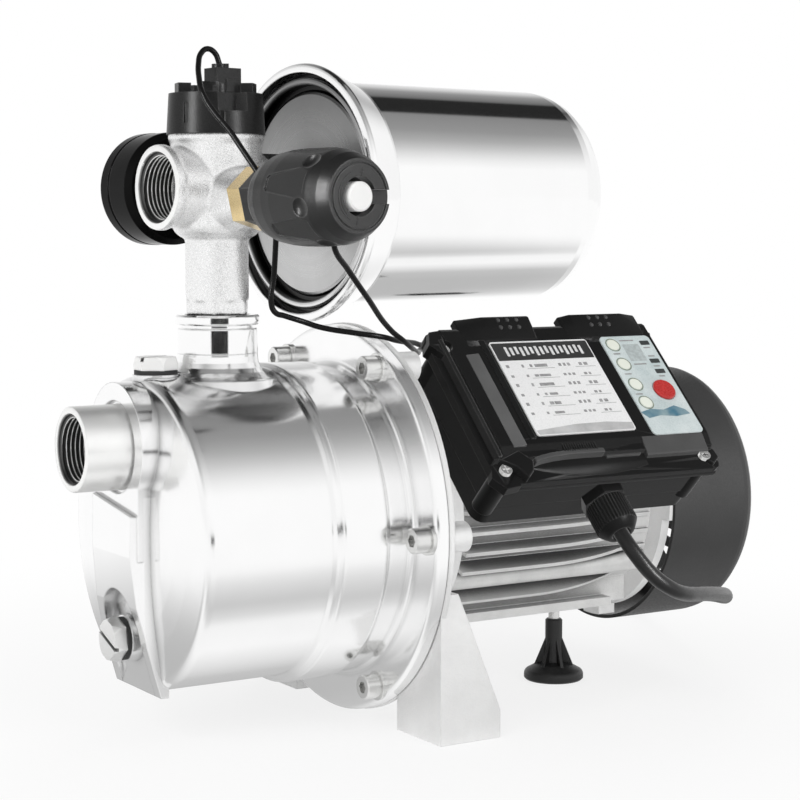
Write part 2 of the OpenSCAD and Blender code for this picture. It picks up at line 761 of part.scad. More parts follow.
module bearings() {
    bore = shaft_r + running;
    color([0.6, 0.6, 0.62]) for (x = [bearing_front_x, bearing_rear_x]) along(x) difference() {
        tube(bearing_w, bearing_r, bore);
        for (z = [-past, bearing_w - 1]) translate([0, 0, z])
            tube(1 + past, bearing_r - 3.2, bore + 3);
    }
}

module rear_shield() {
    hub_r = bearing_r + 5;
    ear_r = cover_r - cover_t - 0.2;
    color([0.78, 0.78, 0.77]) difference() {
        union() {
            ring(motor_end - 6, motor_end, tube_bore - seated, tube_bore - 5);
            ring(motor_end, shield_back, fin_r, 5);
            ring(bearing_rear_x, shield_back, hub_r, 5);
            // Four ears reach out to carry the fan cover.
            along(motor_end) for (t = [0:90:270]) rotate([0, 0, t]) intersection() {
                translate([fin_r - 4, -7, 0]) cube([20, 14, 11]);
                cylinder(h = 11, r = ear_r);
            }
        }
        along(bearing_rear_x - past) cylinder(h = bearing_w + past + 0.2, r = bearing_r + seated);
        along(bearing_rear_x) cylinder(h = 40, r = shaft_r + 1);
        around(motor_end - past, tie_circle_r, tie_angles) cylinder(h = 30, r = tie_r + 0.3);
    }
}

module cooling_fan() {
    fan_x = shield_back + 4;
    color([0.1, 0.1, 0.1]) along(fan_x) {
        tube(18, 12, shaft_end_r + running);
        translate([0, 0, 0]) tube(2, 34, 11);
        for (i = [0:fan_blades - 1]) rotate([0, 0, i * 360 / fan_blades])
            translate([10, -1, 0.5]) cube([44, 2, 17]);
    }
}

module fan_cover() {
    corner = 10;
    vent_rows = 4;
    color([0.12, 0.12, 0.12]) difference() {
        along(cover_x) rotate_extrude() polygon(concat(
            [[cover_r - cover_t, 0], [cover_r, 0]],
            arc(cover_r - corner, cover_len - corner, corner, 0, 90, 6),
            [[0, cover_len], [0, cover_len - cover_t]],
            arc(cover_r - corner, cover_len - corner, corner - cover_t, 90, 0, 6)));
        // Air inlet: rings of curved slots in the end wall.
        along(cover_end - cover_t - 1) for (k = [0:vent_rows - 1]) {
            r0 = 14 + k * 11;
            count = 6 + 2 * k;
            for (i = [0:count - 1]) rotate([0, 0, i * 360 / count])
                rotate_extrude(start = 0, angle = 360 / count - 260 / r0)
                    translate([r0, 0]) square([5.5, 4]);
        }
    }
}

module tie_bolts() {
    color([0.75, 0.75, 0.75]) {
        around(bracket_x - 12, tie_circle_r, tie_angles)
            cylinder(h = shield_back - bracket_x + 12 + 0.5, r = tie_r);
        around(shield_back, tie_circle_r, tie_angles) hexagon(4, 8);
    }
}

module levelling_stud() {
    color([0.7, 0.7, 0.7]) placed() translate([level_pos, 0, rubber_h - 18])
        cylinder(h = axis_h - tube_bore - 2 - rubber_h + 18 - 0.5, r = stud_r);
}

module stud_nut() {
    nut_h = 4.5;
    color([0.7, 0.7, 0.7]) placed() translate([level_pos, 0, boss_z - nut_h]) difference() {
        hexagon(nut_h, 10);
        translate([0, 0, -past]) cylinder(h = nut_h + 2 * past, r = stud_r + running);
    }
}

module rubber_foot() {
    neck_r2 = 4.75;
    color([0.06, 0.06, 0.06]) placed() translate([level_pos, 0, 0]) difference() {
        union() {
            rotate_extrude() polygon(concat([[0, 0], [rubber_r - 1, 0], [rubber_r, 1]],
                arc(rubber_r - 3, 3, 3, 0, 70, 4),
                [[neck_r2 + 5, 8.5], [neck_r2 + 1, 10], [neck_r2, 20],
                 [neck_r2, rubber_h - 0.8], [neck_r2 - 0.8, rubber_h], [0, rubber_h]]));
            for (t = [20:60:340]) rotate([0, 0, t]) rotate([90, 0, 0])
                linear_extrude(height = 1.8, center = true)
                    polygon([[2, 4], [rubber_r - 4.5, 5], [neck_r2 - 0.5, 24], [2, 24]]);
        }
        translate([0, 0, rubber_h - 18 - 0.2]) cylinder(h = 30, r = stud_r + seated);
    }
}

// Control box

box_x1 = box_x0 + box_len;
box_v1 = box_v0 + box_w;
gland_u = box_x0 + 74;
gland_n = box_low + 15.5;
screw_spots = [[box_x0 + 7, box_v0], [box_x0 + 7, box_v0 + 84.6],
    [box_x1 - 7, box_v0], [box_x1 - 7, box_v0 + 84.6]];

module on_gland() {
    on_box() translate([gland_u, box_v0, gland_n]) rotate([90, 0, 0]) children();
}

module control_base() {
    side = 4;
    corner = 7;
    color([0.13, 0.13, 0.13]) {
        difference() {
            union() {
                on_box() translate([0, 0, box_low]) linear_extrude(height = 13)
                    rounded_rect(box_x0 + side + 0.6, box_x1 - 0.6, box_v0 + 0.6, box_v1 - 4.6, corner);
                on_box() translate([0, 0, box_low + 13]) linear_extrude(height = lid_n - box_low - 13)
                    rounded_rect(box_x0 + side, box_x1, box_v0, box_v1 - 4, corner);
                on_box() for (s = screw_spots) translate([s[0], s[1] + (s[1] < 0 ? 4 : -3), lid_n - 22])
                    cylinder(h = 22, r = 5.5);
            }
            on_box() translate([0, 0, box_low + box_wall]) linear_extrude(height = 60)
                rounded_rect(box_x0 + side + 3, box_x1 - 3, box_v0 + 3, box_v1 - 7, corner - 3);
            on_gland() translate([0, 0, -10]) cylinder(h = 20, r = 8 + seated);
            on_box() for (s = screw_spots) translate([s[0], s[1] + (s[1] < 0 ? 4 : -3), lid_n - 14])
                cylinder(h = 22, r = 1.6);
            // Where the motor leads come up through the pad, and the two thin leads go in.
            on_box() translate([box_x0 + 40, 0, box_low - past]) cylinder(h = 10, r = 5);
            for (e = lead_entries) on_entry(e) translate([0, 0, -8]) cylinder(h = 10, r = 2.6 + seated);
        }
        on_box() for (s = screw_spots) translate([s[0], s[1] + (s[1] < 0 ? 4 : -3), lid_n - 22])
            tube(22, 4.5, 1.6);
    }
}

// Where the two thin leads enter the back wall, as [x, height above the box's underside].
lead_entries = [[box_x0 + 22, 22], [box_x0 + 32, 17]];

// Local +Z points out of the back wall.
module on_entry(e) {
    on_box() translate([e[0], box_v1 - 4, box_low + e[1]]) rotate([-90, 0, 0]) children();
}

module control_lid() {
    skirt_h = 5;
    color([0.1, 0.1, 0.1]) difference() {
        union() {
            on_box() translate([0, 0, lid_n]) linear_extrude(height = skirt_h)
                rounded_rect(box_x0, box_x1 + 1, box_v0 - 4, box_v1, 5);
            on_box() rotate([90, 0, 90]) translate([0, 0, box_x0 + 8]) linear_extrude(height = box_len - 8)
                polygon([[box_v0 + 6, lid_n + 1], [box_v1 - 1, lid_n + 1], [box_v1 - 1, deck_n - 1],
                    [box_v1 - 3, deck_n], [box_v0 + 16, deck_n], [box_v0 + 9, deck_n - 2]]);
            // Left strips: a thin rib and a sloping band beside the deck.
            on_box() translate([box_x0 + 8, box_v0 + 8, lid_n + 1]) cube([4, 78, 7]);
            on_box() for (i = [0, 1, 3]) translate([screw_spots[i][0],
                screw_spots[i][1] + (i == 0 ? 2 : 0), lid_n]) rotate([0, 0, 8]) hexagon(9, 15.4);
            // Front handrest: a bowed lip with two notches.
            intersection() {
                on_box() translate([box_x0 + 63, box_v0 + 122, lid_n]) tube(9, 124, 112);
                on_box() translate([box_x0 + 18, box_v0 - 6, lid_n]) cube([76, 22, 10]);
            }
            // Two finger grips on the back edge.
            for (u = [box_x0 + 42, box_x0 + 110]) on_box() translate([u, box_v1 - 1.4, deck_n - 3]) {
                rotate([90, 0, 0]) linear_extrude(height = 12)
                    polygon([[-25, 0], [-18, 6.6], [-16, 7.2], [16, 7.2], [18, 6.6], [25, 0]]);
                for (dx = [-8:8:8]) for (dy = [-3.4, -8.4]) translate([dx, dy, 7]) cylinder(h = 1, r = 1.1);
            }
        }
        on_box() translate([0, 0, lid_n - 30]) linear_extrude(height = 30 + skirt_h - 2)
            rounded_rect(box_x0 + 15, box_x1 - 15, box_v0 + 12, box_v1 - 16, 3);
        on_box() for (s = screw_spots) translate([s[0], s[1] + (s[1] < 0 ? 4 : -3), lid_n - 5]) {
            cylinder(h = 20, r = 2);
            translate([0, 0, 10]) cylinder(h = 20, r = 3.4);
        }
        // Shallow seats of the plate and the key panel, and the button's hole.
        on_box() translate([0, 0, deck_n - 0.4]) linear_extrude(height = 4) {
            rounded_rect(plate_u0, plate_u1, plate_v0, plate_v1, 2);
            rounded_rect(panel_u0, panel_u1, panel_v0, panel_v1, 3);
        }
        on_box() translate([button_u, button_v, lid_n]) cylinder(h = 30, r = button_r + 0.6);
        on_box() for (v = led_spots) translate([led_u, v, lid_n]) cylinder(h = 30, r = 3.6 + seated);
    }
}

plate_u0 = box_x0 + 32;
plate_u1 = box_x0 + 94;
plate_v0 = box_v0 + 20;
plate_v1 = box_v0 + 82.5;
panel_u0 = box_x0 + 102.5;
panel_u1 = box_x0 + 136;
panel_v0 = box_v0 + 15.8;
panel_v1 = box_v0 + 83.5;
button_u = box_x0 + 125.3;
button_v = box_v0 + 45;
led_u = box_x0 + 109.3;
led_spots = [for (d = [77.2, 63.8, 49.8, 37.4]) box_v0 + d];
plate_t = 0.9;

module rating_plate() {
    color([0.93, 0.93, 0.93]) on_box() translate([0, 0, deck_n - 0.4 + 0.01])
        linear_extrude(height = plate_t) rounded_rect(plate_u0 + 0.3, plate_u1 - 0.3,
            plate_v0 + 0.3, plate_v1 - 0.3, 1.7);
}

module key_panel() {
    color([0.85, 0.88, 0.88]) on_box() difference() {
        translate([0, 0, deck_n - 0.4 + 0.01]) linear_extrude(height = plate_t)
            rounded_rect(panel_u0 + 0.3, panel_u1 - 0.3, panel_v0 + 0.3, panel_v1 - 0.3, 2.7);
        translate([button_u, button_v, deck_n - 2]) cylinder(h = 5, r = button_r + apart);
        for (v = led_spots) translate([led_u, v, deck_n - 2]) cylinder(h = 5, r = 3.6 + seated);
    }
}

module start_button() {
    color([0.85, 0.15, 0.13]) on_box() translate([button_u, button_v, 0]) {
        translate([0, 0, deck_n - 4]) cylinder(h = 5.4, r = button_r);
        translate([0, 0, deck_n + 1.39]) cylinder(h = 0.5, r1 = button_r, r2 = button_r - 0.5);
        translate([0, 0, board_n + 1.6 + apart + button_travel])
            cylinder(h = deck_n - 3.9 - board_n - 1.6 - apart - button_travel, r = 2);
    }
}

module indicator_lenses() {
    color([0.9, 0.95, 0.9]) on_box() for (v = led_spots) translate([led_u, v, deck_n - 5])
        cylinder(h = 5.8, r = 3.6);
}

board_n = deck_n - 18;

module circuit_board() {
    color([0.1, 0.35, 0.2]) on_box() {
        translate([box_x0 + 70, box_v0 + 15, board_n]) cube([60, box_w - 34, 1.6]);
        for (c = [[box_x0 + 74, box_v0 + 22], [box_x0 + 126, box_v0 + 22],
                  [box_x0 + 74, box_v1 - 26], [box_x0 + 126, box_v1 - 26]])
            translate([c[0], c[1], box_low + box_wall]) cylinder(h = board_n - box_low - box_wall, r = 2.6);
        translate([box_x0 + 80, box_v0 + 20, board_n + 1.6]) cube([18, 14, 7]);
    }
}

module capacitor() {
    color([0.85, 0.85, 0.83]) on_box() translate([box_x0 + 12, box_v0 + 42, box_low + box_wall + 13.2])
        rotate([0, 90, 0]) cylinder(h = 50, r = 13);
}

module lid_screws() {
    color([0.8, 0.8, 0.78]) on_box() for (s = screw_spots)
        translate([s[0], s[1] + (s[1] < 0 ? 4 : -3), lid_n]) {
            translate([0, 0, -10]) cylinder(h = 15.1, r = 1.5);
            translate([0, 0, 5]) difference() {
                cylinder(h = 2.2, r = 3.1);
                for (t = [0, 90]) rotate([0, 0, t]) translate([-2, -0.35, 1.2]) cube([4, 0.7, 2]);
            }
        }
}

module cable_gland() {
    color([0.08, 0.08, 0.08]) on_gland() {
        difference() {
            union() {
                translate([0, 0, -6]) cylinder(h = 12, r = 8);
                hexagon(5.5, 21);
                cylinder(h = 14, r = 8);
            }
            translate([0, 0, -7]) cylinder(h = 40, r = cord_d / 2 + seated);
        }
        translate([0, 0, -9]) tube(3, 9.8, cord_d / 2 + seated);
    }
}

module gland_nut() {
    rib_count = 18;
    color([0.07, 0.07, 0.07]) on_gland() translate([0, 0, 5.6]) difference() {
        union() {
            cylinder(h = 15, r = 10.4);
            translate([0, 0, 15]) cylinder(h = 4, r1 = 10.4, r2 = 6.5);
            for (i = [0:rib_count - 1]) rotate([0, 0, i * 360 / rib_count])
                translate([10, -0.6, 1]) cube([1.2, 1.2, 13]);
        }
        translate([0, 0, -past]) cylinder(h = 9.6, r = 8 + seated);
        translate([0, 0, -past]) cylinder(h = 30, r = cord_d / 2 + seated);
        translate([0, 0, 14]) cylinder(h = 5.01, r1 = cord_d / 2 + seated, r2 = cord_d / 2 + 1.4);
    }
}

module lead_sleeves() {
    color([0.05, 0.05, 0.05]) for (e = lead_entries) on_entry(e) difference() {
        union() {
            translate([0, 0, -3]) cylinder(h = 3.1, r = 2.6);
            cylinder(h = 5, r1 = 4.2, r2 = 2.9);
        }
        translate([0, 0, -4]) cylinder(h = 12, r = lead_d / 2 + seated);
    }
}

// Cords and leads

function unit(v) = v / norm(v);
// A smooth point between p[i] and p[i + 1], on a cubic through all the points.
function spline_point(p, i, t) =
    let (a = p[max(i - 1, 0)], b = p[i], c = p[i + 1], d = p[min(i + 2, len(p) - 1)])
    0.5 * (2 * b + (c - a) * t + (2 * a - 5 * b + 4 * c - d) * t * t
        + (3 * b - a - 3 * c + d) * t * t * t);
function spline(p, steps) = concat(
    [for (i = [0:len(p) - 2]) for (k = [0:steps - 1]) spline_point(p, i, k / steps)], [p[len(p) - 1]]);
function tangent(c, i) = unit(c[min(i + 1, len(c) - 1)] - c[max(i - 1, 0)]);
// The ring's first direction, carried along the line so that the tube doesn't twist.
function carried(c, i, up) = let (t = tangent(c, i)) unit(up - (up * t) * t);
function frames(c, i = 0, up = [0.3, 0.2, 1], found = []) = i == len(c) ? found :
    let (u = carried(c, i, up)) frames(c, i + 1, u, concat(found, [u]));

module swept(points, diameter, sides, steps) {
    c = spline(points, steps);
    u = frames(c);
    n = len(c);
    verts = [for (i = [0:n - 1]) let (w = cross(tangent(c, i), u[i])) for (k = [0:sides - 1])
        c[i] + diameter / 2 * (u[i] * cos(k * 360 / sides) + w * sin(k * 360 / sides))];
    walls = [for (i = [0:n - 2]) for (k = [0:sides - 1])
        [i * sides + k, (i + 1) * sides + k, (i + 1) * sides + (k + 1) % sides, i * sides + (k + 1) % sides]];
    ends = [[for (k = [0:sides - 1]) k], [for (k = [sides - 1:-1:0]) (n - 1) * sides + k]];
    polyhedron(points = verts, faces = concat(ends, walls));
}

// A point of the control box's frame.
function box_point(u, v, n) =
    [u, v * cos(box_tilt) - n * sin(box_tilt), axis_h + v * sin(box_tilt) + n * cos(box_tilt)];
function gland_point(d) = box_point(gland_u, box_v0 - d, gland_n);

// Route of the mains cord from the gland to the coil, from the nose rim and the axis.
cord_route = concat([for (d = [0, 12, 25]) gland_point(d)],
    [[215, -119, 89], [222, -124, 79], [232, -125, 72], [244, -121, 67.5], [258, -113, 64.5],
    [274, -102.5, 61.5], [291, -90, 58], [308, -76, 54], [323, -62, 50], [338, -44.5, 44.5],
    [349, -22, 41], [360, 4, 36], [373, 35, 29], [388, 68, 20], [403, 102, 11],
    [414, 133, 5.5], [417, 158, 4], [411, 184, 4], [400, 208, 4]]);
coil_mid = [350, 222];
coil_r = 42;
coil_turns_wide = 2;

module power_cord() {
    color([0.06, 0.06, 0.06]) placed() swept(cord_route, cord_d, 10, 2);
}

module cord_coil() {
    wide = coil_turns_wide * cord_d / 2;
    color([0.06, 0.06, 0.06]) placed() translate([coil_mid[0], coil_mid[1], 0.2])
        tube(2 * cord_d, coil_r + wide, coil_r - wide);
}

// The plug lies on the coil.
module mains_plug() {
    body_len = 34;
    body_r = 13;
    flat = 11;
    plug_z = 0.2 + 2 * cord_d + flat;
    placed() translate([coil_mid[0] - 12, coil_mid[1] - coil_r + 6, plug_z]) rotate([0, 90, 0]) {
        color([0.07, 0.07, 0.07]) difference() {
            union() {
                cylinder(h = body_len, r = body_r);
                translate([0, 0, -body_r]) cylinder(h = body_r + 0.1, r1 = 5, r2 = 8);
            }
            for (x = [flat, -flat - 10]) translate([x, -20, -past]) cube([10, 40, 60]);
        }
        for (side = [-1, 1]) color([0.75, 0.75, 0.72]) translate([0, side * 6, body_len])
            cylinder(h = 17, r = 2.3);
    }
}

// Five-way fitting and what it carries

module five_way_body() {
    flats = 29;
    wall = 3.6;
    stem_h = branch_z - barrel_r - 3 - pipe_top;
    color([0.78, 0.77, 0.75]) difference() {
        union() {
            on_branch(pipe_top) rotate([0, 0, 52]) hexagon(6.8, flats);
            on_branch(pipe_top + 6.7) rotate_extrude() polygon(concat([[0, 0], [stem_r - 0.6, 0]],
                [[stem_r, 0.6], [stem_r, stem_h - 8]], arc(stem_r + 8, stem_h - 8, 8, 180, 100, 5),
                [[0, stem_h]]));
            on_branch(branch_z - 20) rotate_extrude() polygon(concat(
                [[0, -6]], arc(barrel_r - 9, 4, 9, -90, 0, 5),
                [[barrel_r, barrel_top - branch_z + 16], [barrel_r + 1, barrel_top - branch_z + 17.5],
                 [barrel_r + 1, barrel_top - branch_z + 20], [0, barrel_top - branch_z + 20]]));
            on_branch(outlet_z) rotate([0, -90, 0]) rotate_extrude() polygon([[0, 0],
                [outlet_r - 1.2, 0], [outlet_r - 1.2, outlet_out - 5], [outlet_r, outlet_out - 4],
                [outlet_r, outlet_out - 0.6], [outlet_r - 0.6, outlet_out], [0, outlet_out]]);
            along_tank(tank_z) cylinder(h = 27, r = 18);
            along_switch() cylinder(h = switch_seat, r1 = 20, r2 = 13.5);
            along_gauge() cylinder(h = 36, r = 9);
            along_gauge() cylinder(h = 30, r1 = 17, r2 = 10);
        }
        on_branch(pipe_top - past) cylinder(h = branch_z - pipe_top - 10, r = stem_r - wall);
        on_branch(branch_z - 14) cylinder(h = 60, r = barrel_r - wall);
        on_branch(outlet_z) rotate([0, -90, 0]) {
            cylinder(h = outlet_out + past, r = thread_r - 2);
            translate([0, 0, outlet_out - thread_len]) cylinder(h = thread_len + past, r = thread_r);
            translate([0, 0, outlet_out - 1.4]) cylinder(h = 1.41, r1 = thread_r, r2 = thread_r + 1.4);
        }
        along_tank(tank_z) cylinder(h = 40, r = neck_bore);
        along_switch() cylinder(h = 40, r = 6.5 + seated);
        along_switch() translate([0, 0, switch_seat]) cylinder(h = 20, r = 30);
        along_gauge() cylinder(h = 50, r = 4 + seated);
    }
}

neck_bore = 12.5;

module flow_cap() {
    top_r = cap_r - 1.2;
    color([0.1, 0.1, 0.1]) on_branch(barrel_top) difference() {
        union() {
            cylinder(h = cap_h, r1 = cap_r, r2 = top_r);
            translate([0, 0, -9]) cylinder(h = 9.1, r = barrel_r - 3.6 - seated);
            // Keyed blocks round the top for a spanner.
            for (t = [20, 90, 160, 225, 315]) rotate([0, 0, t])
                translate([13.2, -4.5, cap_h - 1]) cube([6.3, 9, 6]);
        }
        translate([0, 0, sensor_foot]) cylinder(h = 30, r = 8 + seated);
        translate([0, 0, -12]) cylinder(h = 12.5, r = 16);
        translate([0, 0, -past]) cylinder(h = poppet_lift + 2, r = 3 + running);
        // Window in front for the sensor's lead.
        rotate([0, 0, -90]) translate([15, -11.4, cap_h - 9]) cube([20, 14.2, 12]);
        for (t = [200, 245, 340]) rotate([0, 0, t]) translate([cap_r - 1.4, -1.2, 5])
            cube([5, 2.4, 10]);
    }
}

// Solid floor of the cap between the poppet's rod and the sensor.
sensor_foot = poppet_lift + 2;

module flow_sensor() {
    color([0.09, 0.09, 0.09]) on_branch(barrel_top) {
        translate([0, 0, sensor_foot]) cylinder(h = cap_h + 5 - sensor_foot, r = 8);
        translate([-4, -7.5, cap_h + 3.5]) cube([14, 11.5, 9]);
        translate([1, -8.8, cap_h + 0.5]) cube([8, 6.6, 6.6]);
        // Clip that holds the lead where it comes out on top.
        translate([1.6, -1, cap_h + 12.4]) {
            cylinder(h = 2.2, r = 3.8);
            translate([0, 0, 0.8]) rotate([0, 90, -38]) cylinder(h = 4.6, r = 1.7);
        }
    }
}

module flow_poppet() {
    seat_z = branch_z - 14 + apart;
    // Covers the stem's bore and stays behind the end of the outlet's thread.
    disc_r = min(stem_r - 2, outlet_out - thread_len - 0.6);
    color([0.85, 0.85, 0.8]) on_branch(seat_z) {
        cylinder(h = 3, r = disc_r);
        cylinder(h = barrel_top - seat_z - 10, r = 7);
        for (t = [45:90:315]) rotate([0, 0, t]) translate([0, -0.8, 0])
            cube([barrel_r - 3.6 - 0.4, 1.6, 9]);
        translate([0, 0, barrel_top - seat_z - 10.1]) cylinder(h = 10, r = 3);
    }
}

gauge_back = 65 - gauge_depth;
dial_d = gauge_back + gauge_depth - 5;

module gauge_case() {
    color([0.08, 0.08, 0.08]) along_gauge() {
        difference() {
            translate([0, 0, gauge_back]) rotate_extrude() polygon([[0, 0], [gauge_r - 3, 0],
                [gauge_r, 3], [gauge_r, gauge_depth - 9], [gauge_r - 0.7, gauge_depth - 8.6],
                [gauge_r - 0.7, gauge_depth - 8], [gauge_r + 0.2, gauge_depth - 7.6],
                [gauge_r + 0.2, gauge_depth - 1], [gauge_r - 0.8, gauge_depth], [0, gauge_depth]]);
            translate([0, 0, gauge_back + 2.5]) cylinder(h = gauge_depth, r = gauge_r - 2.5);
        }
        // Brass connection that screws into the fitting.
        color([0.8, 0.65, 0.35]) translate([0, 0, 24]) cylinder(h = gauge_back - 24 + 0.1, r = 4);
        color([0.8, 0.65, 0.35]) translate([0, 0, 36]) hexagon(gauge_back - 36 + 0.05, 14);
        // Movement that carries the dial and the pointer's spindle.
        color([0.7, 0.6, 0.4]) translate([0, 0, gauge_back + 2.4])
            tube(dial_d - gauge_back - 2.4, 9, 1 + running);
    }
}

module gauge_face() {
    color([0.95, 0.95, 0.93]) along_gauge() translate([0, 0, dial_d])
        tube(0.8, gauge_r - 2.5 - seated, 1 + running);
}

module gauge_pointer() {
    hub = 2.6;
    color([0.75, 0.1, 0.1]) along_gauge() {
        translate([0, 0, dial_d - 4]) cylinder(h = 4 + 0.8 + 0.5 + 1, r = 1);
        translate([0, 0, dial_d + 0.8 + 0.5]) {
            cylinder(h = 1.2, r = hub);
            rotate([0, 0, 45]) linear_extrude(height = 0.6)
                polygon([[-8, -1.2], [gauge_r * 0.62, -0.35], [gauge_r * 0.62, 0.35], [-8, 1.2]]);
        }
    }
}

module gauge_lens() {
    color([0.85, 0.9, 0.92]) along_gauge() translate([0, 0, dial_d + 3.2])
        cylinder(h = 1.5, r = gauge_r - 2.5 - seated);
}

switch_seat = 32;
switch_turn = -17;
nut_len = 10.5;
nut_flats = 27;
// Where the moulded housing begins on its brass adapter.
housing_from = switch_seat + nut_len;

module switch_nut() {
    color([0.84, 0.68, 0.38]) along_switch() difference() {
        union() {
            translate([0, 0, switch_seat]) rotate([0, 0, switch_turn]) hexagon(nut_len, nut_flats);
            translate([0, 0, switch_seat - 2]) cylinder(h = 2.1, r = 6.5);
            translate([0, 0, housing_from - 0.1]) cylinder(h = 6, r = 9);
        }
        cylinder(h = 60, r = 3);
    }
}

// Outer shape of the moulded switch housing, as [radius, distance].
function switch_outline() = [[0, housing_from + 8], [15, housing_from + 8],
    [17.6, housing_from + 11.5], [19.4, housing_from + 15], [21.2, housing_from + 21],
    [switch_r - 0.4, housing_from + 29], [switch_r, housing_from + 36], [switch_r, switch_out - 20],
    [switch_r - 0.9, switch_out - 12], [switch_r - 2.6, switch_out - 6],
    [switch_r - 4.8, switch_out - 1.4], [switch_r - 5.6, switch_out], [0, switch_out]];

module switch_housing() {
    facets = 6;
    hollow_r = 15;
    hollow_from = housing_from + 14;
    color([0.12, 0.12, 0.12]) along_switch() difference() {
        union() {
            rotate_extrude() polygon(switch_outline());
            translate([0, 0, housing_from]) rotate([0, 0, switch_turn]) hexagon(9, nut_flats);
            // Grip where the sensor's lead comes in.
            rotate([0, 0, -65]) translate([17, 0, housing_from + 2]) {
                cylinder(h = 14, r = 3.9);
                rotate([0, 90, 0]) translate([-5, 0, -8]) cylinder(h = 8, r = 3);
            }
        }
        translate([0, 0, housing_from - 0.1]) cylinder(h = 6.1, r = 9 + seated);
        translate([0, 0, hollow_from]) cylinder(h = switch_out - hollow_from - 6, r = hollow_r);
        translate([0, 0, housing_from + 4]) cylinder(h = 80, r = 3);
        translate([0, 0, switch_out - 8]) cylinder(h = 20, r = 9);
        translate([0, 0, switch_out - 0.8]) tube(2, 15.5, 14.6);
        // Notch on one side of the end face.
        translate([6, -3.2, switch_out - 5]) cube([30, 6.4, 20]);
        for (i = [0:facets - 1]) {
            // Trapezoid grip panels and round dimples take turns round the housing.
            rotate([0, 0, i * 60 + switch_turn]) translate([switch_r - 1.3, 0, 0]) rotate([90, 0, 90])
                linear_extrude(height = 10) polygon([[-7.6, switch_out - 16], [-6.4, switch_out - 14],
                    [6.4, switch_out - 14], [7.6, switch_out - 16], [4, switch_out - 42],
                    [2.6, switch_out - 43.5], [-2.6, switch_out - 43.5], [-4, switch_out - 42]]);
            rotate([0, 0, i * 60 + switch_turn + 30]) translate([switch_r + 1.4, 0, switch_out - 15])
                rotate([0, 10, 0]) scale([0.7, 1, 1.1]) sphere(r = 5.6, $fn = 32);
        }
    }
}

module adjusting_pin() {
    color([0.9, 0.9, 0.88]) along_switch() {
        translate([0, 0, switch_out - 6.5 + apart]) cylinder(h = 7.3 - 0.6, r = pin_r);
        translate([0, 0, switch_out + 0.5]) cylinder(h = 0.8, r1 = pin_r, r2 = pin_r - 0.8);
        translate([0, 0, 60]) cylinder(h = switch_out - 66, r = 2.95);
        translate([0, 0, 66]) cylinder(h = 3, r = hollow_seat_r);
    }
}

hollow_seat_r = 14.6;

// Profile of the tank shell as [radius, distance behind the front rim].
function tank_profile(t) = concat(
    [[tank_rim_r - 3 - t, 0]], t == 0 ? arc(tank_rim_r - 2, 2, 2, -90, 20, 4) : [[tank_rim_r - t, 2]],
    [[tank_r + 1.8 - t, 19], [tank_r + 1.6 - t, 20.3], [tank_r - t, 21],
     [tank_r - t, tank_len - tank_corner - 2]],
    arc(tank_r - tank_corner, tank_len - tank_corner - 2, tank_corner - t, 0, 84, 7),
    [[0, tank_len - t]]);

module tank_shell() {
    color([0.86, 0.86, 0.86]) along_tank(tank_z) translate([0, 0, tank_front]) difference() {
        rotate_extrude() polygon(concat(tank_profile(0), [[0, 0]]));
        rotate_extrude() polygon(concat(tank_profile(tank_t), [[0, -past], [tank_rim_r - 4, -past]]));
        cylinder(h = tank_len + 20, r = 5 + seated);
    }
}

module tank_end() {
    edge_r = tank_rim_r - 4.6;
    ring_r = tank_rim_r - 8.9;
    plate_r = tank_rim_r - 14;
    color([0.75, 0.75, 0.75]) along_tank(tank_z) {
        difference() {
            // Rolled edge, a narrow pressed ring between two grooves, and the flat plate.
            translate([0, 0, tank_front]) rotate_extrude() polygon(concat([[edge_r, 9], [edge_r, 6.5],
                [ring_r + 2, 6.5]], arc(ring_r, 4.2, 2, 0, -180, 6), [[ring_r - 2, 8.4],
                [plate_r + 1, 8.8], [plate_r, 7], [plate_r - 1.4, 6.3], [18, 5.9], [0, 5.9],
                [0, 9], [18, 9.1], [plate_r - 1, 9.6], [plate_r + 1, 11.4], [ring_r - 1, 11.6]]));
            translate([0, 0, tank_front]) cylinder(h = 20, r = neck_bore - 2);
        }
        // Threaded neck and nut that hold the tank on the fitting.
        translate([0, 0, 20]) tube(tank_front - 13, neck_bore - seated, neck_bore - 4);
        translate([0, 0, 27]) difference() {
            hexagon(tank_front - 27 + 6.5, 34);
            translate([0, 0, -past]) cylinder(h = 60, r = neck_bore - 4);
        }
    }
}

module tank_bladder() {
    lip = tank_front + 10.5;
    color([0.08, 0.08, 0.08]) along_tank(tank_z) difference() {
        translate([0, 0, lip]) rotate_extrude() polygon(concat([[0, 0], [tank_r - 6, 0]],
            arc(tank_r - 20, 18, 14, -50, 0, 4),
            arc(tank_r - 26, tank_len - 52, 20, 0, 84, 5), [[0, tank_len - 32]]));
        translate([0, 0, lip - past]) cylinder(h = 20, r = neck_bore);
        translate([0, 0, lip + 6]) cylinder(h = tank_len - 60, r = tank_r - 24);
    }
}

module air_valve() {
    color([0.1, 0.1, 0.1]) along_tank(tank_z) {
        translate([0, 0, tank_end_x - 4]) cylinder(h = 5, r = 5);
        translate([0, 0, tank_end_x]) difference() {
            cylinder(h = 12, r = 7.5);
            for (t = [0:30:330]) rotate([0, 0, t]) translate([8, 0, 2]) cylinder(h = 12, r = 0.9);
        }
    }
}

// The three thin leads between the flow sensor, the pressure switch and the box.
function turned(d, y, z) = [pipe_x + d * cos(branch_turn) - y * sin(branch_turn),
    d * sin(branch_turn) + y * cos(branch_turn), z];

module leads() {
    color([0.05, 0.05, 0.05]) placed() {
        swept(sensor_lead, lead_d, 8, 2);
        swept(switch_lead, lead_d, 8, 2);
        swept(return_lead, lead_d, 8, 2);
    }
}

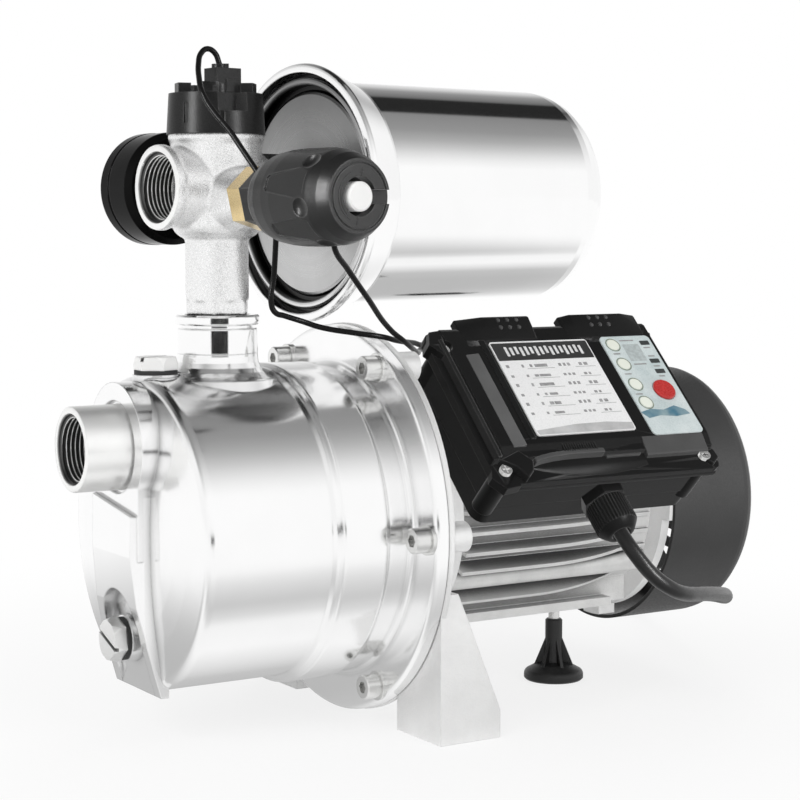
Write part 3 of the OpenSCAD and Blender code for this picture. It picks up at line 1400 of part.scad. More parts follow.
// The end of a lead: straight through its sleeve into the box.
function lead_end(e) = [for (d = [13, 6, -5]) box_point(e[0], box_v1 - 4 + d, box_low + e[1])];

sensor_lead = [turned(1.3, -1.4, 331.7), turned(-1.4, -1.4, 335.8), turned(-5.3, -1.6, 337.6),
    turned(-10.4, -3.3, 335), turned(-14.2, -7, 329.5), turned(-17.4, -12.4, 322.9),
    turned(-19.4, -18.5, 314.9), turned(-17.1, -24, 306.4), turned(-12.8, -31.2, 297.1),
    turned(-9.2, -38, 287), turned(-7.2, -42.8, 280.4)];
switch_lead = concat([turned(5.6, -91.6, 240.4), turned(18, -84, 231.7), turned(36, -75, 218),
    [113, -54, 200], [121, -52, 195], [134, -41, 189.6], [141, -33.5, 187.4], box_point(148, 43.5, 78.5),
    box_point(156, 48, 77.5), box_point(165, 50.5, 77.5)], lead_end(lead_entries[1]));
return_lead = concat([turned(3.6, -46.4, 245.6), turned(8.2, -38, 229), turned(8.7, -35, 213),
    turned(11, -35, 209.5), turned(16, -35, 208), turned(26, -36, 205), [83, -36, 202],
    [99, -43, 199], [113, -46, 196.8], [122, -43, 194.8], [140, -31.6, 192.4], [149, -26.5, 191.2],
    box_point(156, 49, 82.5)], lead_end(lead_entries[0]));

pump_casing();
suction_port();
discharge_port();
priming_plug();
drain_plug();
plug_seals();
ejector_nozzle();
venturi_tube();
diffuser();
impeller();
seal_seat();
seal_head();
casing_gasket();
casing_bolts();
casing_washers();
pump_bracket();
motor_housing();
stator_core();
windings();
rotor_core();
motor_shaft();
bearings();
rear_shield();
cooling_fan();
fan_cover();
tie_bolts();
levelling_stud();
stud_nut();
rubber_foot();
control_base();
control_lid();
rating_plate();
key_panel();
start_button();
indicator_lenses();
circuit_board();
capacitor();
lid_screws();
cable_gland();
gland_nut();
lead_sleeves();
power_cord();
cord_coil();
mains_plug();
five_way_body();
flow_cap();
flow_sensor();
flow_poppet();
gauge_case();
gauge_face();
gauge_pointer();
gauge_lens();
switch_nut();
switch_housing();
adjusting_pin();
tank_shell();
tank_end();
tank_bladder();
air_valve();
leads();
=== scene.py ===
from math import atan2, cos, degrees, pi, radians, sin
import bpy
import bmesh
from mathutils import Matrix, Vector


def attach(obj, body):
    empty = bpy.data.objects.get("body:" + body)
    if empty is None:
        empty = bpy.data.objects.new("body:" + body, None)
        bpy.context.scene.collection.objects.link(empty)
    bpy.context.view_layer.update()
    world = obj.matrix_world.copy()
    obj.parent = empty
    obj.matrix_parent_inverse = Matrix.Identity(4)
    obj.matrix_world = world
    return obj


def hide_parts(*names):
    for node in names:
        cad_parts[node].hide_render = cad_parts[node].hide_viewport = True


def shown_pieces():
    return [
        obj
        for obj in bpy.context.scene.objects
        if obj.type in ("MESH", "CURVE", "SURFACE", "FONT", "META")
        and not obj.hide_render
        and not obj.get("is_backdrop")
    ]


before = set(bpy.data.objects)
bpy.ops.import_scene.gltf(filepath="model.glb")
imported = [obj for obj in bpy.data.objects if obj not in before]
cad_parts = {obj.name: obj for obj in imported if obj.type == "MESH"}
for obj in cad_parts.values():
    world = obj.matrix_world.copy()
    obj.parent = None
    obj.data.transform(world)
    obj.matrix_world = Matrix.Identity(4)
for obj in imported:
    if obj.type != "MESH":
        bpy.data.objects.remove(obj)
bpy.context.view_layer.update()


# The white sweep that the pump stands on in the photograph, and the camera in front of it.
# The sweep keeps the pump's shadow near the feet and fades to plain white further out. Polished
# pieces mirror soft grey bands in it, which run along the pump.
scene = bpy.context.scene
scene.view_settings.view_transform = "Standard"


def put(tree, kind, sockets=None, **settings):
    """Adds a shader node. A socket given as a value is set, and one given as another socket is joined."""
    made = tree.nodes.new("ShaderNode" + kind)
    for name, value in settings.items():
        setattr(made, name, value)
    for name, value in (sockets or {}).items():
        if isinstance(value, bpy.types.NodeSocket):
            tree.links.new(value, made.inputs[name])
        else:
            made.inputs[name].default_value = value
    return made


def new_material(name):
    """An empty material, its node tree and its output node."""
    made = bpy.data.materials.new(name)
    made.use_nodes = True
    made.node_tree.nodes.clear()
    return made, made.node_tree, put(made.node_tree, "OutputMaterial")


def new_piece(name, vertices, faces, smooth=True):
    """A mesh object from points in metres. A smooth one keeps its corners over 32 degrees sharp."""
    mesh = bpy.data.meshes.new(name)
    mesh.from_pydata([tuple(v) for v in vertices], [], faces)
    mesh.validate()
    shape = bmesh.new()
    shape.from_mesh(mesh)
    bmesh.ops.remove_doubles(shape, verts=shape.verts, dist=0.000002)
    bmesh.ops.recalc_face_normals(shape, faces=shape.faces)
    shape.to_mesh(mesh)
    shape.free()
    piece = bpy.data.objects.new(name, mesh)
    scene.collection.objects.link(piece)
    if smooth:
        mesh.shade_smooth()
        mesh.set_sharp_from_angle(angle=radians(32))
    return piece


sweep_half = 6.0
sweep = new_piece("white_sweep", [(-sweep_half, -sweep_half, 0), (sweep_half, -sweep_half, 0),
                                  (sweep_half, sweep_half, 0), (-sweep_half, sweep_half, 0)],
                  [(0, 1, 2, 3)], smooth=False)
sweep_white, tree, out = new_material("sweep_white")
place = put(tree, "TexCoord").outputs["Object"]
reach = put(tree, "VectorMath", {0: place}, operation="LENGTH").outputs["Value"]
far_out = put(tree, "MapRange", {"Value": reach, "From Min": 0.08, "From Max": 0.55, "To Min": 0.78},
              interpolation_type="SMOOTHSTEP").outputs["Result"]
paper = put(tree, "BsdfPrincipled", {"Base Color": (0.93, 0.93, 0.93, 1), "Roughness": 0.9,
                                     "Specular IOR Level": 0.1})
glow = put(tree, "Emission", {"Color": (1, 1, 1, 1), "Strength": 1.0})
seen = put(tree, "LightPath")
glow_share = put(tree, "Math", {0: far_out, 1: seen.outputs["Is Camera Ray"]},
                 operation="MULTIPLY").outputs[0]
faded = put(tree, "MixShader", {0: glow_share, 1: paper.outputs[0], 2: glow.outputs[0]})


def grey_ramp(tree, value, stops):
    """A ramp of greys: each stop is a position from 0 to 1 and a level of light."""
    made = put(tree, "ValToRGB", {"Fac": value})
    for i, (where, level) in enumerate(stops):
        stop = made.color_ramp.elements[i] if i < 2 else made.color_ramp.elements.new(where)
        stop.position = where
        stop.color = (level, level, level, 1)
    return made.outputs["Color"]


def mirror_rays(tree, seen):
    """1 for a ray that metal or glass sends on, and 0 for the others."""
    return put(tree, "Math", {0: seen.outputs["Is Glossy Ray"], 1: seen.outputs["Is Transmission Ray"]},
               operation="MAXIMUM").outputs[0]


# What metal mirrors is a touch brighter than white, because its own colour takes some of it away.
mirrored_strength = 1.03
ahead = put(tree, "SeparateXYZ", {0: place}).outputs["Y"]
ahead = put(tree, "MapRange", {"Value": ahead, "From Min": -0.35, "From Max": 0.05}).outputs["Result"]
mirrored_band = grey_ramp(tree, ahead, [
    (0.0, 1.0), (0.22, 0.97), (0.34, 0.84), (0.47, 0.70), (0.56, 0.60), (0.62, 0.72),
    (0.66, 0.94), (0.75, 0.97), (0.81, 0.80), (0.88, 0.55), (1.0, 0.50)])
clear_of_pump = put(tree, "MapRange", {"Value": reach, "From Min": 0.24, "From Max": 0.55},
                    interpolation_type="SMOOTHSTEP").outputs["Result"]
mirrored = put(tree, "Mix", {0: clear_of_pump, 6: mirrored_band, 7: (1, 1, 1, 1)},
               data_type="RGBA").outputs[2]
mirrored = put(tree, "Emission", {"Color": mirrored, "Strength": mirrored_strength})
whole = put(tree, "MixShader", {0: mirror_rays(tree, seen), 1: faded.outputs[0], 2: mirrored.outputs[0]})
tree.links.new(whole.outputs[0], out.inputs["Surface"])
sweep.data.materials.append(sweep_white)
sweep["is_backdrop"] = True

camera_turn = radians(-31.9)
camera_tip = radians(90 - 4.86)
camera_data = bpy.data.cameras.new("photo_camera")
camera_data.lens = 90
camera_data.sensor_width = 36
camera_data.clip_start = 0.05
camera = bpy.data.objects.new("photo_camera", camera_data)
camera.location = (-0.55481, -0.87954, 0.24958)
camera.rotation_euler = (camera_tip, 0, camera_turn)
scene.collection.objects.link(camera)
scene.camera = camera


# The studio's light: a white tent all round, with a dark gap overhead that runs along the pump and
# draws the black bands on the polished steel, and three soft lamps. Only reflections see the gap.
tent = bpy.data.worlds.new("white_tent")
scene.world = tent
tent.use_nodes = True
tree = tent.node_tree
tree.nodes.clear()
way = put(tree, "SeparateXYZ", {0: put(tree, "TexCoord").outputs["Generated"]}).outputs
forwards = put(tree, "Math", {0: way["Y"], 1: -1.0}, operation="MULTIPLY").outputs[0]
over = put(tree, "Math", {0: way["Z"], 1: forwards}, operation="ARCTAN2").outputs[0]
over = put(tree, "Math", {0: over, 1: pi}, operation="DIVIDE").outputs[0]
bands = grey_ramp(tree, over, [
    (0.0, 1.0), (0.17, 1.0), (0.22, 0.88), (0.26, 0.74), (0.30, 0.58), (0.35, 0.42), (0.42, 0.30),
    (0.54, 0.24), (0.555, 0.02), (0.68, 0.02), (0.70, 0.16), (0.78, 0.30), (0.84, 0.62), (0.93, 0.85),
    (1.0, 1.0)])
sideways = put(tree, "Math", {0: way["X"]}, operation="ABSOLUTE").outputs[0]
sideways = put(tree, "MapRange", {"Value": sideways, "From Min": 0.68, "From Max": 0.90},
               interpolation_type="SMOOTHSTEP").outputs["Result"]
bands = put(tree, "Mix", {0: sideways, 6: bands, 7: (0.95, 0.95, 0.95, 1)}, data_type="RGBA").outputs[2]
seen = put(tree, "LightPath")
soft_light = put(tree, "Background", {"Color": (1, 1, 1, 1), "Strength": 0.55})
banded = put(tree, "Background", {"Color": bands, "Strength": mirrored_strength})
plain_white = put(tree, "Background", {"Color": (1, 1, 1, 1), "Strength": 1.0})
inside = put(tree, "MixShader", {0: mirror_rays(tree, seen), 1: soft_light.outputs[0], 2: banded.outputs[0]})
whole = put(tree, "MixShader", {0: seen.outputs["Is Camera Ray"], 1: inside.outputs[0],
                                2: plain_white.outputs[0]})
tree.links.new(whole.outputs[0], put(tree, "OutputWorld").inputs["Surface"])


def soft_lamp(name, place, power, width, aim):
    """An area lamp that faces a point over the middle of the floor, aim metres up."""
    lamp_data = bpy.data.lights.new(name, "AREA")
    lamp_data.energy = power
    lamp_data.size = width
    lamp = bpy.data.objects.new(name, lamp_data)
    lamp.location = place
    lamp.rotation_euler = (Vector((0, 0, aim)) - Vector(place)).to_track_quat("-Z", "Y").to_euler()
    scene.collection.objects.link(lamp)
    return lamp


for name, place, power, width in (("left_softbox", (-1.7, -0.9, 1.3), 17, 1.2),
                                  ("front_softbox", (0.5, -2.0, 1.5), 15, 1.4),
                                  ("back_softbox", (1.2, 1.5, 1.6), 9, 1.0)):
    soft_lamp(name, place, power, width, aim=0.15).visible_glossy = False

# Two narrow strips light only the black plastic and paint: they are its soft upright highlights.
# The left one leaves the box out, so that its end stays black.
black_pieces = bpy.data.collections.new("black_pieces")
black_fittings = bpy.data.collections.new("black_fittings")
for name, place, power, width, lit in (("left_strip", (-1.7, -0.15, 0.55), 70, 0.40, black_fittings),
                                       ("right_strip", (0.65, -1.75, 0.60), 55, 0.42, black_pieces)):
    strip = soft_lamp(name, place, power, width, aim=0.25)
    strip.data.shape = "RECTANGLE"
    strip.data.size_y = 1.5
    strip.light_linking.receiver_collection = lit

# A low black card stands beyond the camera: it is the dark stripe down the middle of the polished pipe.
card_half_width, card_half_height = 0.755, 0.075
card_middle = Vector((-0.642, -1.568, 0.10))
card_side = Vector((cos(camera_turn), sin(camera_turn), 0)) * card_half_width
card_up = Vector((0, 0, card_half_height))
card = new_piece("black_card", [card_middle - card_side - card_up, card_middle + card_side - card_up,
                                card_middle + card_side + card_up, card_middle - card_side + card_up],
                 [(0, 1, 2, 3)], smooth=False)
card_black, tree, out = new_material("card_black")
tree.links.new(put(tree, "Emission", {"Color": (0, 0, 0, 1)}).outputs[0], out.inputs["Surface"])
card.data.materials.append(card_black)
for ray in ("camera", "diffuse", "shadow", "transmission"):
    setattr(card, "visible_" + ray, False)
card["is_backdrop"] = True


# The mains cord: black rubber-sheathed flex, 7.6 mm thick and about 1.5 m long. It comes out of the
# gland nut, falls to the floor round the fan cover and is wound up in a coil behind the pump. Its
# route repeats the points of the CAD tube, in millimetres from the nose rim.
frame_x, frame_y = 152.65, -9.59


def from_nose(x, y, z):
    """A point given in millimetres from the nose rim, the shaft's centre plane and the floor."""
    return Vector(((x - frame_x) / 1000, (y - frame_y) / 1000, z / 1000))


shaft_z = 102
box_tilt = pi / 4
gland_x, gland_out, gland_up = 212.3, 131.8, 20.2


def nut_line(d):
    """A point on the gland's axis, which leaves the tilted box downwards, d from the gland's face."""
    return (gland_x, (-gland_out - d) * sin(box_tilt), shaft_z + (gland_up - d) * sin(box_tilt))


cord_d = 7.6
cord_route = [nut_line(d) for d in (0, 12, 25)] + [
    (215, -119, 89), (222, -124, 79), (232, -125, 72), (244, -121, 67.5), (258, -113, 64.5),
    (274, -102.5, 61.5), (291, -90, 58), (308, -76, 54), (323, -62, 50), (338, -44.5, 44.5),
    (349, -22, 41), (360, 4, 36), (373, 35, 29), (388, 68, 20), (403, 102, 11),
    (414, 133, 5.5), (417, 158, 4), (411, 184, 4)]
coil_start, coil_middle = (400, 208), (350, 222)
# The coil's lanes: degrees gone round, then the cord's radius and height there.
coil_lanes = [(0, 51.9, 4), (40, 45.8, 4), (300, 45.8, 4), (360, 38.2, 4), (600, 38.2, 4),
              (660, 38.2, 11.6), (840, 38.2, 11.6), (900, 45.8, 11.6), (1190, 45.8, 11.6),
              (1262, 45.8, 19.7), (1283, 45.8, 21.8)]


def lane(turned):
    """Radius and height of the cord after it has gone round the coil by that many degrees."""
    for (a, r0, z0), (b, r1, z1) in zip(coil_lanes, coil_lanes[1:]):
        if turned <= b:
            t = (turned - a) / (b - a)
            t = t * t * (3 - 2 * t)
            return r0 + (r1 - r0) * t, z0 + (z1 - z0) * t
    return coil_lanes[-1][1:]


first_angle = degrees(atan2(coil_start[1] - coil_middle[1], coil_start[0] - coil_middle[0]))
for turned in range(0, coil_lanes[-1][0] + 1, 20):
    r, z = lane(turned)
    angle = radians(first_angle + turned)
    cord_route.append((coil_middle[0] + r * cos(angle), coil_middle[1] + r * sin(angle), z))
cord_route += [(305.5, 209, 22.6), (309.5, 197.5, 24.4), (316.5, 189, 25.8), (326, 186.2, 26.4),
               (336, 186, 26.4)]


def new_curve(name, route, thickness, sides=4):
    """A round cord along a route in millimetres from the nose rim."""
    data = bpy.data.curves.new(name, "CURVE")
    data.dimensions = "3D"
    data.bevel_depth = thickness / 2000
    data.bevel_resolution = sides
    data.resolution_u = 8
    data.use_fill_caps = True
    line = data.splines.new("BEZIER")
    line.bezier_points.add(len(route) - 1)
    for knot, point in zip(line.bezier_points, route):
        knot.co = from_nose(*point)
        knot.handle_left_type = knot.handle_right_type = "AUTO"
    made = bpy.data.objects.new(name, data)
    scene.collection.objects.link(made)
    return made


def effect(name, inputs, outputs):
    """A shader effect that several materials share, as a node group with plain number inputs."""
    made = bpy.data.node_groups.new(name, "ShaderNodeTree")
    for label, value in inputs.items():
        kind = "NodeSocketVector" if isinstance(value, tuple) else "NodeSocketFloat"
        made.interface.new_socket(label, in_out="INPUT", socket_type=kind).default_value = value
    for label, kind in outputs.items():
        made.interface.new_socket(label, in_out="OUTPUT", socket_type="NodeSocket" + kind)
    return made, made.nodes.new("NodeGroupInput").outputs, made.nodes.new("NodeGroupOutput").inputs


# Tone: broad soft patches. Grain: the fine relief of a moulded or cast skin. Both sizes are in metres.
skin_effect, given, gives = effect("moulded_or_cast_skin", {"Patch Size": 0.03, "Grain Size": 0.0006},
                                   {"Tone": "Float", "Grain": "Float"})
place = put(skin_effect, "TexCoord").outputs["Object"]
for label, size, detail in (("Tone", "Patch Size", 4), ("Grain", "Grain Size", 2)):
    often = put(skin_effect, "Math", {0: 1.0, 1: given[size]}, operation="DIVIDE").outputs[0]
    cloud = put(skin_effect, "TexNoise", {"Vector": place, "Scale": often, "Detail": detail,
                                          "Roughness": 0.6})
    firm = put(skin_effect, "MapRange", {"Value": cloud.outputs["Fac"], "From Min": 0.3, "From Max": 0.7})
    skin_effect.links.new(firm.outputs["Result"], gives[label])

# Edge: where a corner is painted lighter, partly as wear and partly as a painted highlight. Round Normal:
# the corner's small radius.
edge_effect, given, gives = effect("worn_and_highlit_edges", {"Radius": 0.0005},
                                   {"Edge": "Float", "Round Normal": "Vector"})
round_normal = put(edge_effect, "Bevel", {"Radius": given["Radius"]}, samples=4).outputs["Normal"]
flat = put(edge_effect, "NewGeometry").outputs["Normal"]
alike = put(edge_effect, "VectorMath", {0: round_normal, 1: flat}, operation="DOT_PRODUCT").outputs["Value"]
bent = put(edge_effect, "MapRange", {"Value": alike, "From Min": 0.995, "From Max": 0.86})
edge_effect.links.new(bent.outputs["Result"], gives["Edge"])
edge_effect.links.new(round_normal, gives["Round Normal"])

# Lines: fine marks drawn out along one direction, as from polishing, rolling or a die.
line_effect, given, gives = effect("drawn_lines", {"Stretch": (1.0, 1.0, 1.0), "Line Size": 0.001},
                                   {"Lines": "Float"})
place = put(line_effect, "TexCoord").outputs["Object"]
long_way = put(line_effect, "VectorMath", {0: place, 1: given["Stretch"]}, operation="MULTIPLY").outputs[0]
often = put(line_effect, "Math", {0: 1.0, 1: given["Line Size"]}, operation="DIVIDE").outputs[0]
streaks = put(line_effect, "TexNoise", {"Vector": long_way, "Scale": often, "Detail": 3, "Roughness": 0.65})
line_effect.links.new(streaks.outputs["Fac"], gives["Lines"])

# Rings: fine turning marks about an axis through a centre. Radius: how far a point lies from that axis.
ring_effect, given, gives = effect("turning_marks", {"Centre": (0.0, 0.0, 0.0), "Axis": (1.0, 0.0, 0.0),
                                                     "Ring Size": 0.0004},
                                    {"Rings": "Float", "Radius": "Float"})
place = put(ring_effect, "TexCoord").outputs["Object"]
arm = put(ring_effect, "VectorMath", {0: place, 1: given["Centre"]}, operation="SUBTRACT").outputs[0]
along = put(ring_effect, "VectorMath", {0: arm, 1: given["Axis"]}, operation="DOT_PRODUCT").outputs["Value"]
crossed = put(ring_effect, "VectorMath", {0: arm, 1: given["Axis"]}, operation="CROSS_PRODUCT").outputs[0]
radius = put(ring_effect, "VectorMath", {0: crossed}, operation="LENGTH").outputs["Value"]
both = put(ring_effect, "CombineXYZ", {"X": radius, "Y": along}).outputs[0]
often = put(ring_effect, "Math", {0: 1.0, 1: given["Ring Size"]}, operation="DIVIDE").outputs[0]
marks = put(ring_effect, "TexNoise", {"Vector": both, "Scale": often, "Detail": 2})
ring_effect.links.new(marks.outputs["Fac"], gives["Rings"])
ring_effect.links.new(radius, gives["Radius"])

# Hollow: how deep a point lies in the piece's own gaps and corners, over a real distance in metres.
# Materials use it to paint shade into those gaps.
hollow_effect, given, gives = effect("shaded_hollows", {"Distance": 0.01}, {"Hollow": "Float"})
openness = put(hollow_effect, "AmbientOcclusion", {"Distance": given["Distance"]}, samples=8,
               only_local=True).outputs["AO"]
depth = put(hollow_effect, "MapRange", {"Value": openness, "From Min": 0.88, "From Max": 0.28},
            interpolation_type="SMOOTHSTEP").outputs["Result"]
hollow_effect.links.new(depth, gives["Hollow"])


def finish(name, colour, patches, rough, metallic=0.0, spread=0.05, patch_size=0.03, grain_size=0.0006,
           relief=0.00002, edge=0.0005, rubbed=None, edge_wear_and_highlight_share=0.5, stretch=None, line_size=0.001,
           turned=None, ring_size=0.0004, hollows=None, bands=None, fade=None, **more):
    """A finished surface: two tones in patches, a grain or lines in relief, and rounded corners painted
    lighter, as wear and painted highlight. hollows is the depth, share and colour of painted shade in gaps,
    and bands are painted shade and highlight: grey levels at radii, in metres, from the turned piece's axis.
    fade is a painted shade gradient: a low and a high place, in metres up, and then the grey level at each."""
    made, tree, out = new_material(name)

    def mix(share, a, b):
        return put(tree, "Mix", {0: share, 6: a, 7: b}, data_type="RGBA").outputs[2]

    def times(a, b):
        return put(tree, "Mix", {0: 1.0, 6: a, 7: b}, data_type="RGBA", blend_type="MULTIPLY").outputs[2]

    skin = put(tree, "Group", {"Patch Size": patch_size, "Grain Size": grain_size}, node_tree=skin_effect)
    rim = put(tree, "Group", {"Radius": edge}, node_tree=edge_effect)
    relief_from = skin.outputs["Grain"]
    if stretch:
        relief_from = put(tree, "Group", {"Stretch": stretch, "Line Size": line_size},
                          node_tree=line_effect).outputs["Lines"]
    if turned:
        rings = put(tree, "Group", {"Centre": turned[0], "Axis": turned[1], "Ring Size": ring_size},
                    node_tree=ring_effect)
        relief_from = rings.outputs["Rings"]
    look = mix(skin.outputs["Tone"], (*colour, 1), (*patches, 1))
    # Painted shade and highlight: grey levels in rings by radius from the axis.
    if bands:
        first, last = bands[0][0], bands[-1][0]
        where = put(tree, "MapRange", {"Value": rings.outputs["Radius"], "From Min": first,
                                       "From Max": last}).outputs["Result"]
        look = times(look, grey_ramp(tree, where, [((r - first) / (last - first), level)
                                                   for r, level in bands]))
    # Painted shade: darker or lighter with height.
    if fade:
        low, high, low_level, high_level = fade
        tall = put(tree, "SeparateXYZ", {0: put(tree, "TexCoord").outputs["Object"]}).outputs["Z"]
        tall = put(tree, "MapRange", {"Value": tall, "From Min": low, "From Max": high}).outputs["Result"]
        look = times(look, grey_ramp(tree, tall, [(0.0, low_level), (1.0, high_level)]))
    # Painted shade: gaps and corners darkened towards the given colour.
    if hollows:
        distance, share, shade = hollows
        gaps = put(tree, "Group", {"Distance": distance}, node_tree=hollow_effect)
        share = put(tree, "Math", {0: gaps.outputs["Hollow"], 1: share}, operation="MULTIPLY").outputs[0]
        look = mix(share, look, (*shade, 1))
    # Corners painted lighter: part wear, part painted highlight.
    if rubbed:
        lightened_edge = put(tree, "Math", {0: rim.outputs["Edge"], 1: edge_wear_and_highlight_share}, operation="MULTIPLY")
        look = mix(lightened_edge.outputs[0], look, (*rubbed, 1))
    uneven = put(tree, "MapRange", {"Value": relief_from, "From Min": 0.3, "From Max": 0.7,
                                    "To Min": rough - spread, "To Max": rough + spread})
    bump = put(tree, "Bump", {"Height": relief_from, "Distance": relief, "Strength": 1.0,
                              "Normal": rim.outputs["Round Normal"]})
    shader = put(tree, "BsdfPrincipled", {"Base Color": look, "Metallic": metallic,
                                          "Roughness": uneven.outputs["Result"],
                                          "Normal": bump.outputs[0], **more})
    tree.links.new(shader.outputs[0], out.inputs["Surface"])
    return made


def dress(piece, material):
    """Gives a piece, or the CAD node of that name, this material."""
    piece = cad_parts[piece] if isinstance(piece, str) else piece
    piece.data.materials.clear()
    piece.data.materials.append(material)
    return piece


def sheen(level):
    """How much light a surface that isn't metal mirrors: 0.5 is a plain plastic's."""
    return {"Specular IOR Level": level}


low_sheen = sheen(0.10)
cord_black = finish("cord_black", (0.004, 0.004, 0.004), (0.006, 0.006, 0.006), 0.34, grain_size=0.0008,
                    relief=0.00002, patch_size=0.02, **sheen(0.3))
plug_black = finish("plug_black", (0.022, 0.022, 0.023), (0.028, 0.028, 0.03), 0.5, grain_size=0.0004,
                    relief=0.00003, rubbed=(0.07, 0.07, 0.07))
mains_cord = dress(new_curve("mains_cord", cord_route, cord_d, 6), cord_black)
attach(mains_cord, "pump")
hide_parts("power_cord", "cord_coil")
dress("mains_plug", plug_black)


# The thin leads: round cable from the flow sensor to the pressure switch and from the switch
# down to the box, where each goes through a rubber sleeve.
lead_d = 2.8
pipe_x = 44.7
fitting_turn = radians(6)


def on_fitting(d, y, z):
    """A point in the fitting's own directions, which are turned a little from the pump's."""
    return (pipe_x + d * cos(fitting_turn) - y * sin(fitting_turn),
            d * sin(fitting_turn) + y * cos(fitting_turn), z)


def on_box(u, v, n):
    """A point on the tilted box: u along the motor, v up its deck and n out of it."""
    return (u, v * cos(box_tilt) - n * sin(box_tilt), shaft_z + v * sin(box_tilt) + n * cos(box_tilt))


def into_box(u, low):
    """A lead's last points, straight through its sleeve in the box's back wall."""
    return [on_box(u, 34.2 + d, 60.5 + low) for d in (13, 6, -5)]


lead_black = finish("lead_black", (0.002, 0.002, 0.002), (0.003, 0.003, 0.003), 0.25, grain_size=0.0006,
                    relief=0.00001, **low_sheen)
lead_routes = {
    "sensor_lead": [on_fitting(*p) for p in (
        (1.6, -1.2, 330.4), (-1.2, -1.4, 335.8), (-5.3, -1.6, 337.6), (-10.4, -3.3, 335), (-14.2, -7, 329.5),
        (-17.4, -12.4, 322.9), (-19.4, -18.5, 314.9), (-17.1, -24, 306.4), (-12.8, -31.2, 297.1),
        (-9.2, -38, 287), (-7.2, -42.8, 280.4), (-5.7, -46.4, 275.4))],
    "switch_lead": [on_fitting(*p) for p in (
        (2.5, -94.5, 245), (5.6, -91.6, 240.4), (18, -84, 231.7), (36, -75, 218))] + [
        (113, -54, 200), (121, -52, 195), (134, -41, 189.6), (141, -33.5, 187.4), on_box(148, 43.5, 78.5),
        on_box(156, 48, 77.5), on_box(165, 50.5, 77.5)] + into_box(170.3, 17),
    "return_lead": [on_fitting(*p) for p in (
        (3.6, -46.4, 245.6), (8.2, -38, 229), (8.7, -35, 213), (11, -35, 209.5), (16, -35, 208),
        (26, -36, 205))] + [
        (83, -36, 202), (99, -43, 199), (113, -46, 196.8), (122, -43, 194.8), (140, -31.6, 192.4),
        (149, -26.5, 191.2), on_box(156, 49, 82.5)] + into_box(160.3, 22)}
for name, route in lead_routes.items():
    lead = dress(new_curve(name, route, lead_d), lead_black)
    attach(lead, "pump")
    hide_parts("leads")


# The pump casing: deep-drawn stainless steel, with the polished discharge pipe welded on its top and
# the turned suction port in its nose. The pipe and the tank are polished harder than the casing.
mirror_steel = finish("mirror_steel", (0.96, 0.96, 0.96), (0.93, 0.93, 0.93), 0.08, 1.0, spread=0.02,
                      patch_size=0.05, stretch=(40, 2, 2), line_size=0.02, relief=0.000002, edge=0.0008)
# The casing's steel is painted darker in its creases and corners as shade.
drawn_steel = finish("drawn_steel", (0.96, 0.96, 0.96), (0.93, 0.93, 0.93), 0.15, 1.0, spread=0.02,
                     patch_size=0.05, stretch=(40, 2, 2), line_size=0.02, relief=0.000002, edge=0.0010,
                     hollows=(0.008, 0.75, (0.20, 0.20, 0.20)))
dress("pump_casing", drawn_steel)
dress("discharge_port", mirror_steel)

# The plugs are painted darker in their hollows as shade, and lighter at their edges as wear and painted
# highlight.
satin_steel = finish("satin_steel", (0.94, 0.94, 0.93), (0.90, 0.90, 0.89), 0.32, 0.7, spread=0.03,
                     relief=0.000003, hollows=(0.004, 0.8, (0.12, 0.12, 0.12)), rubbed=(1, 1, 1))
for node in ("priming_plug", "drain_plug"):
    dress(node, satin_steel)


def threaded(name, origin, axis):
    """Turned metal with bright thread crests, and painted shade in its roots and bore, from radii about the
    bore's axis.
    """
    return finish(name, (0.97, 0.97, 0.96), (0.93, 0.93, 0.92), 0.30, 0.7, spread=0.03, relief=0.000002,
                  turned=(from_nose(*origin), axis), ring_size=0.0008,
                  bands=((0.0128, 0.14), (0.0134, 0.16), (0.0150, 0.2), (0.01512, 1.0), (0.01545, 1.0),
                         (0.01575, 0.10), (0.0167, 0.05), (0.0171, 0.3), (0.0174, 1.0), (0.0210, 1.0)))


def lathe(name, outline, origin, axis, sides=96):
    """A turned piece of the pump: its outline's (radius, distance) points, in millimetres, go round an
    axis from an origin. An outline that is a function of the turn, from 0 to 1, makes a screw thread."""
    axis = Vector(axis).normalized()
    across = axis.orthogonal().normalized()
    third = axis.cross(across)
    vertices = []
    for i in range(sides):
        arm = across * cos(2 * pi * i / sides) + third * sin(2 * pi * i / sides)
        points = outline(i / sides) if callable(outline) else outline
        vertices += [from_nose(*(Vector(origin) + axis * d + arm * r)) for r, d in points]
    count = len(points)
    faces = [(i * count + j, i * count + j + 1, (i + 1) % sides * count + j + 1, (i + 1) % sides * count + j)
             for i in range(sides) for j in range(count - 1)]
    turned_piece = new_piece(name, vertices, faces)
    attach(turned_piece, "pump")
    return turned_piece


# One-inch pipe thread: 11 turns an inch, its crests 15.15 mm and its roots 16.63 mm from the axis.
pitch, crest, root, bore_depth = 2.309, 15.15, 16.63, 20.0
thread_start, lead_in = 1.0, 1.5


def mouth_thread(turn, fine=0.21):
    """The threaded bore's outline, from the mouth inwards: flat crests and roots with sloping sides. Its
    first crests are cut away, so that a pipe finds its way in."""
    points = []
    for step in range(int((bore_depth - thread_start) / fine)):
        d = thread_start + step * fine
        wave = (d / pitch - turn) % 1
        tooth = min(1, max(0, 1.9 * abs(2 * wave - 1) - 0.75))
        share = min(1, (d - thread_start) / lead_in)
        points.append((root - (root - crest) * tooth * share, d))
    return points


def suction_outline(turn):
    """The suction port from its root over the outside and the mouth to the end of its bore."""
    return [(20.75, 34), (20.75, 1.1), (20.45, 0.35), (19.7, 0), (17.5, 0)] + mouth_thread(turn) + [
        (13.2, bore_depth), (13.2, 34), (20.75, 34)]


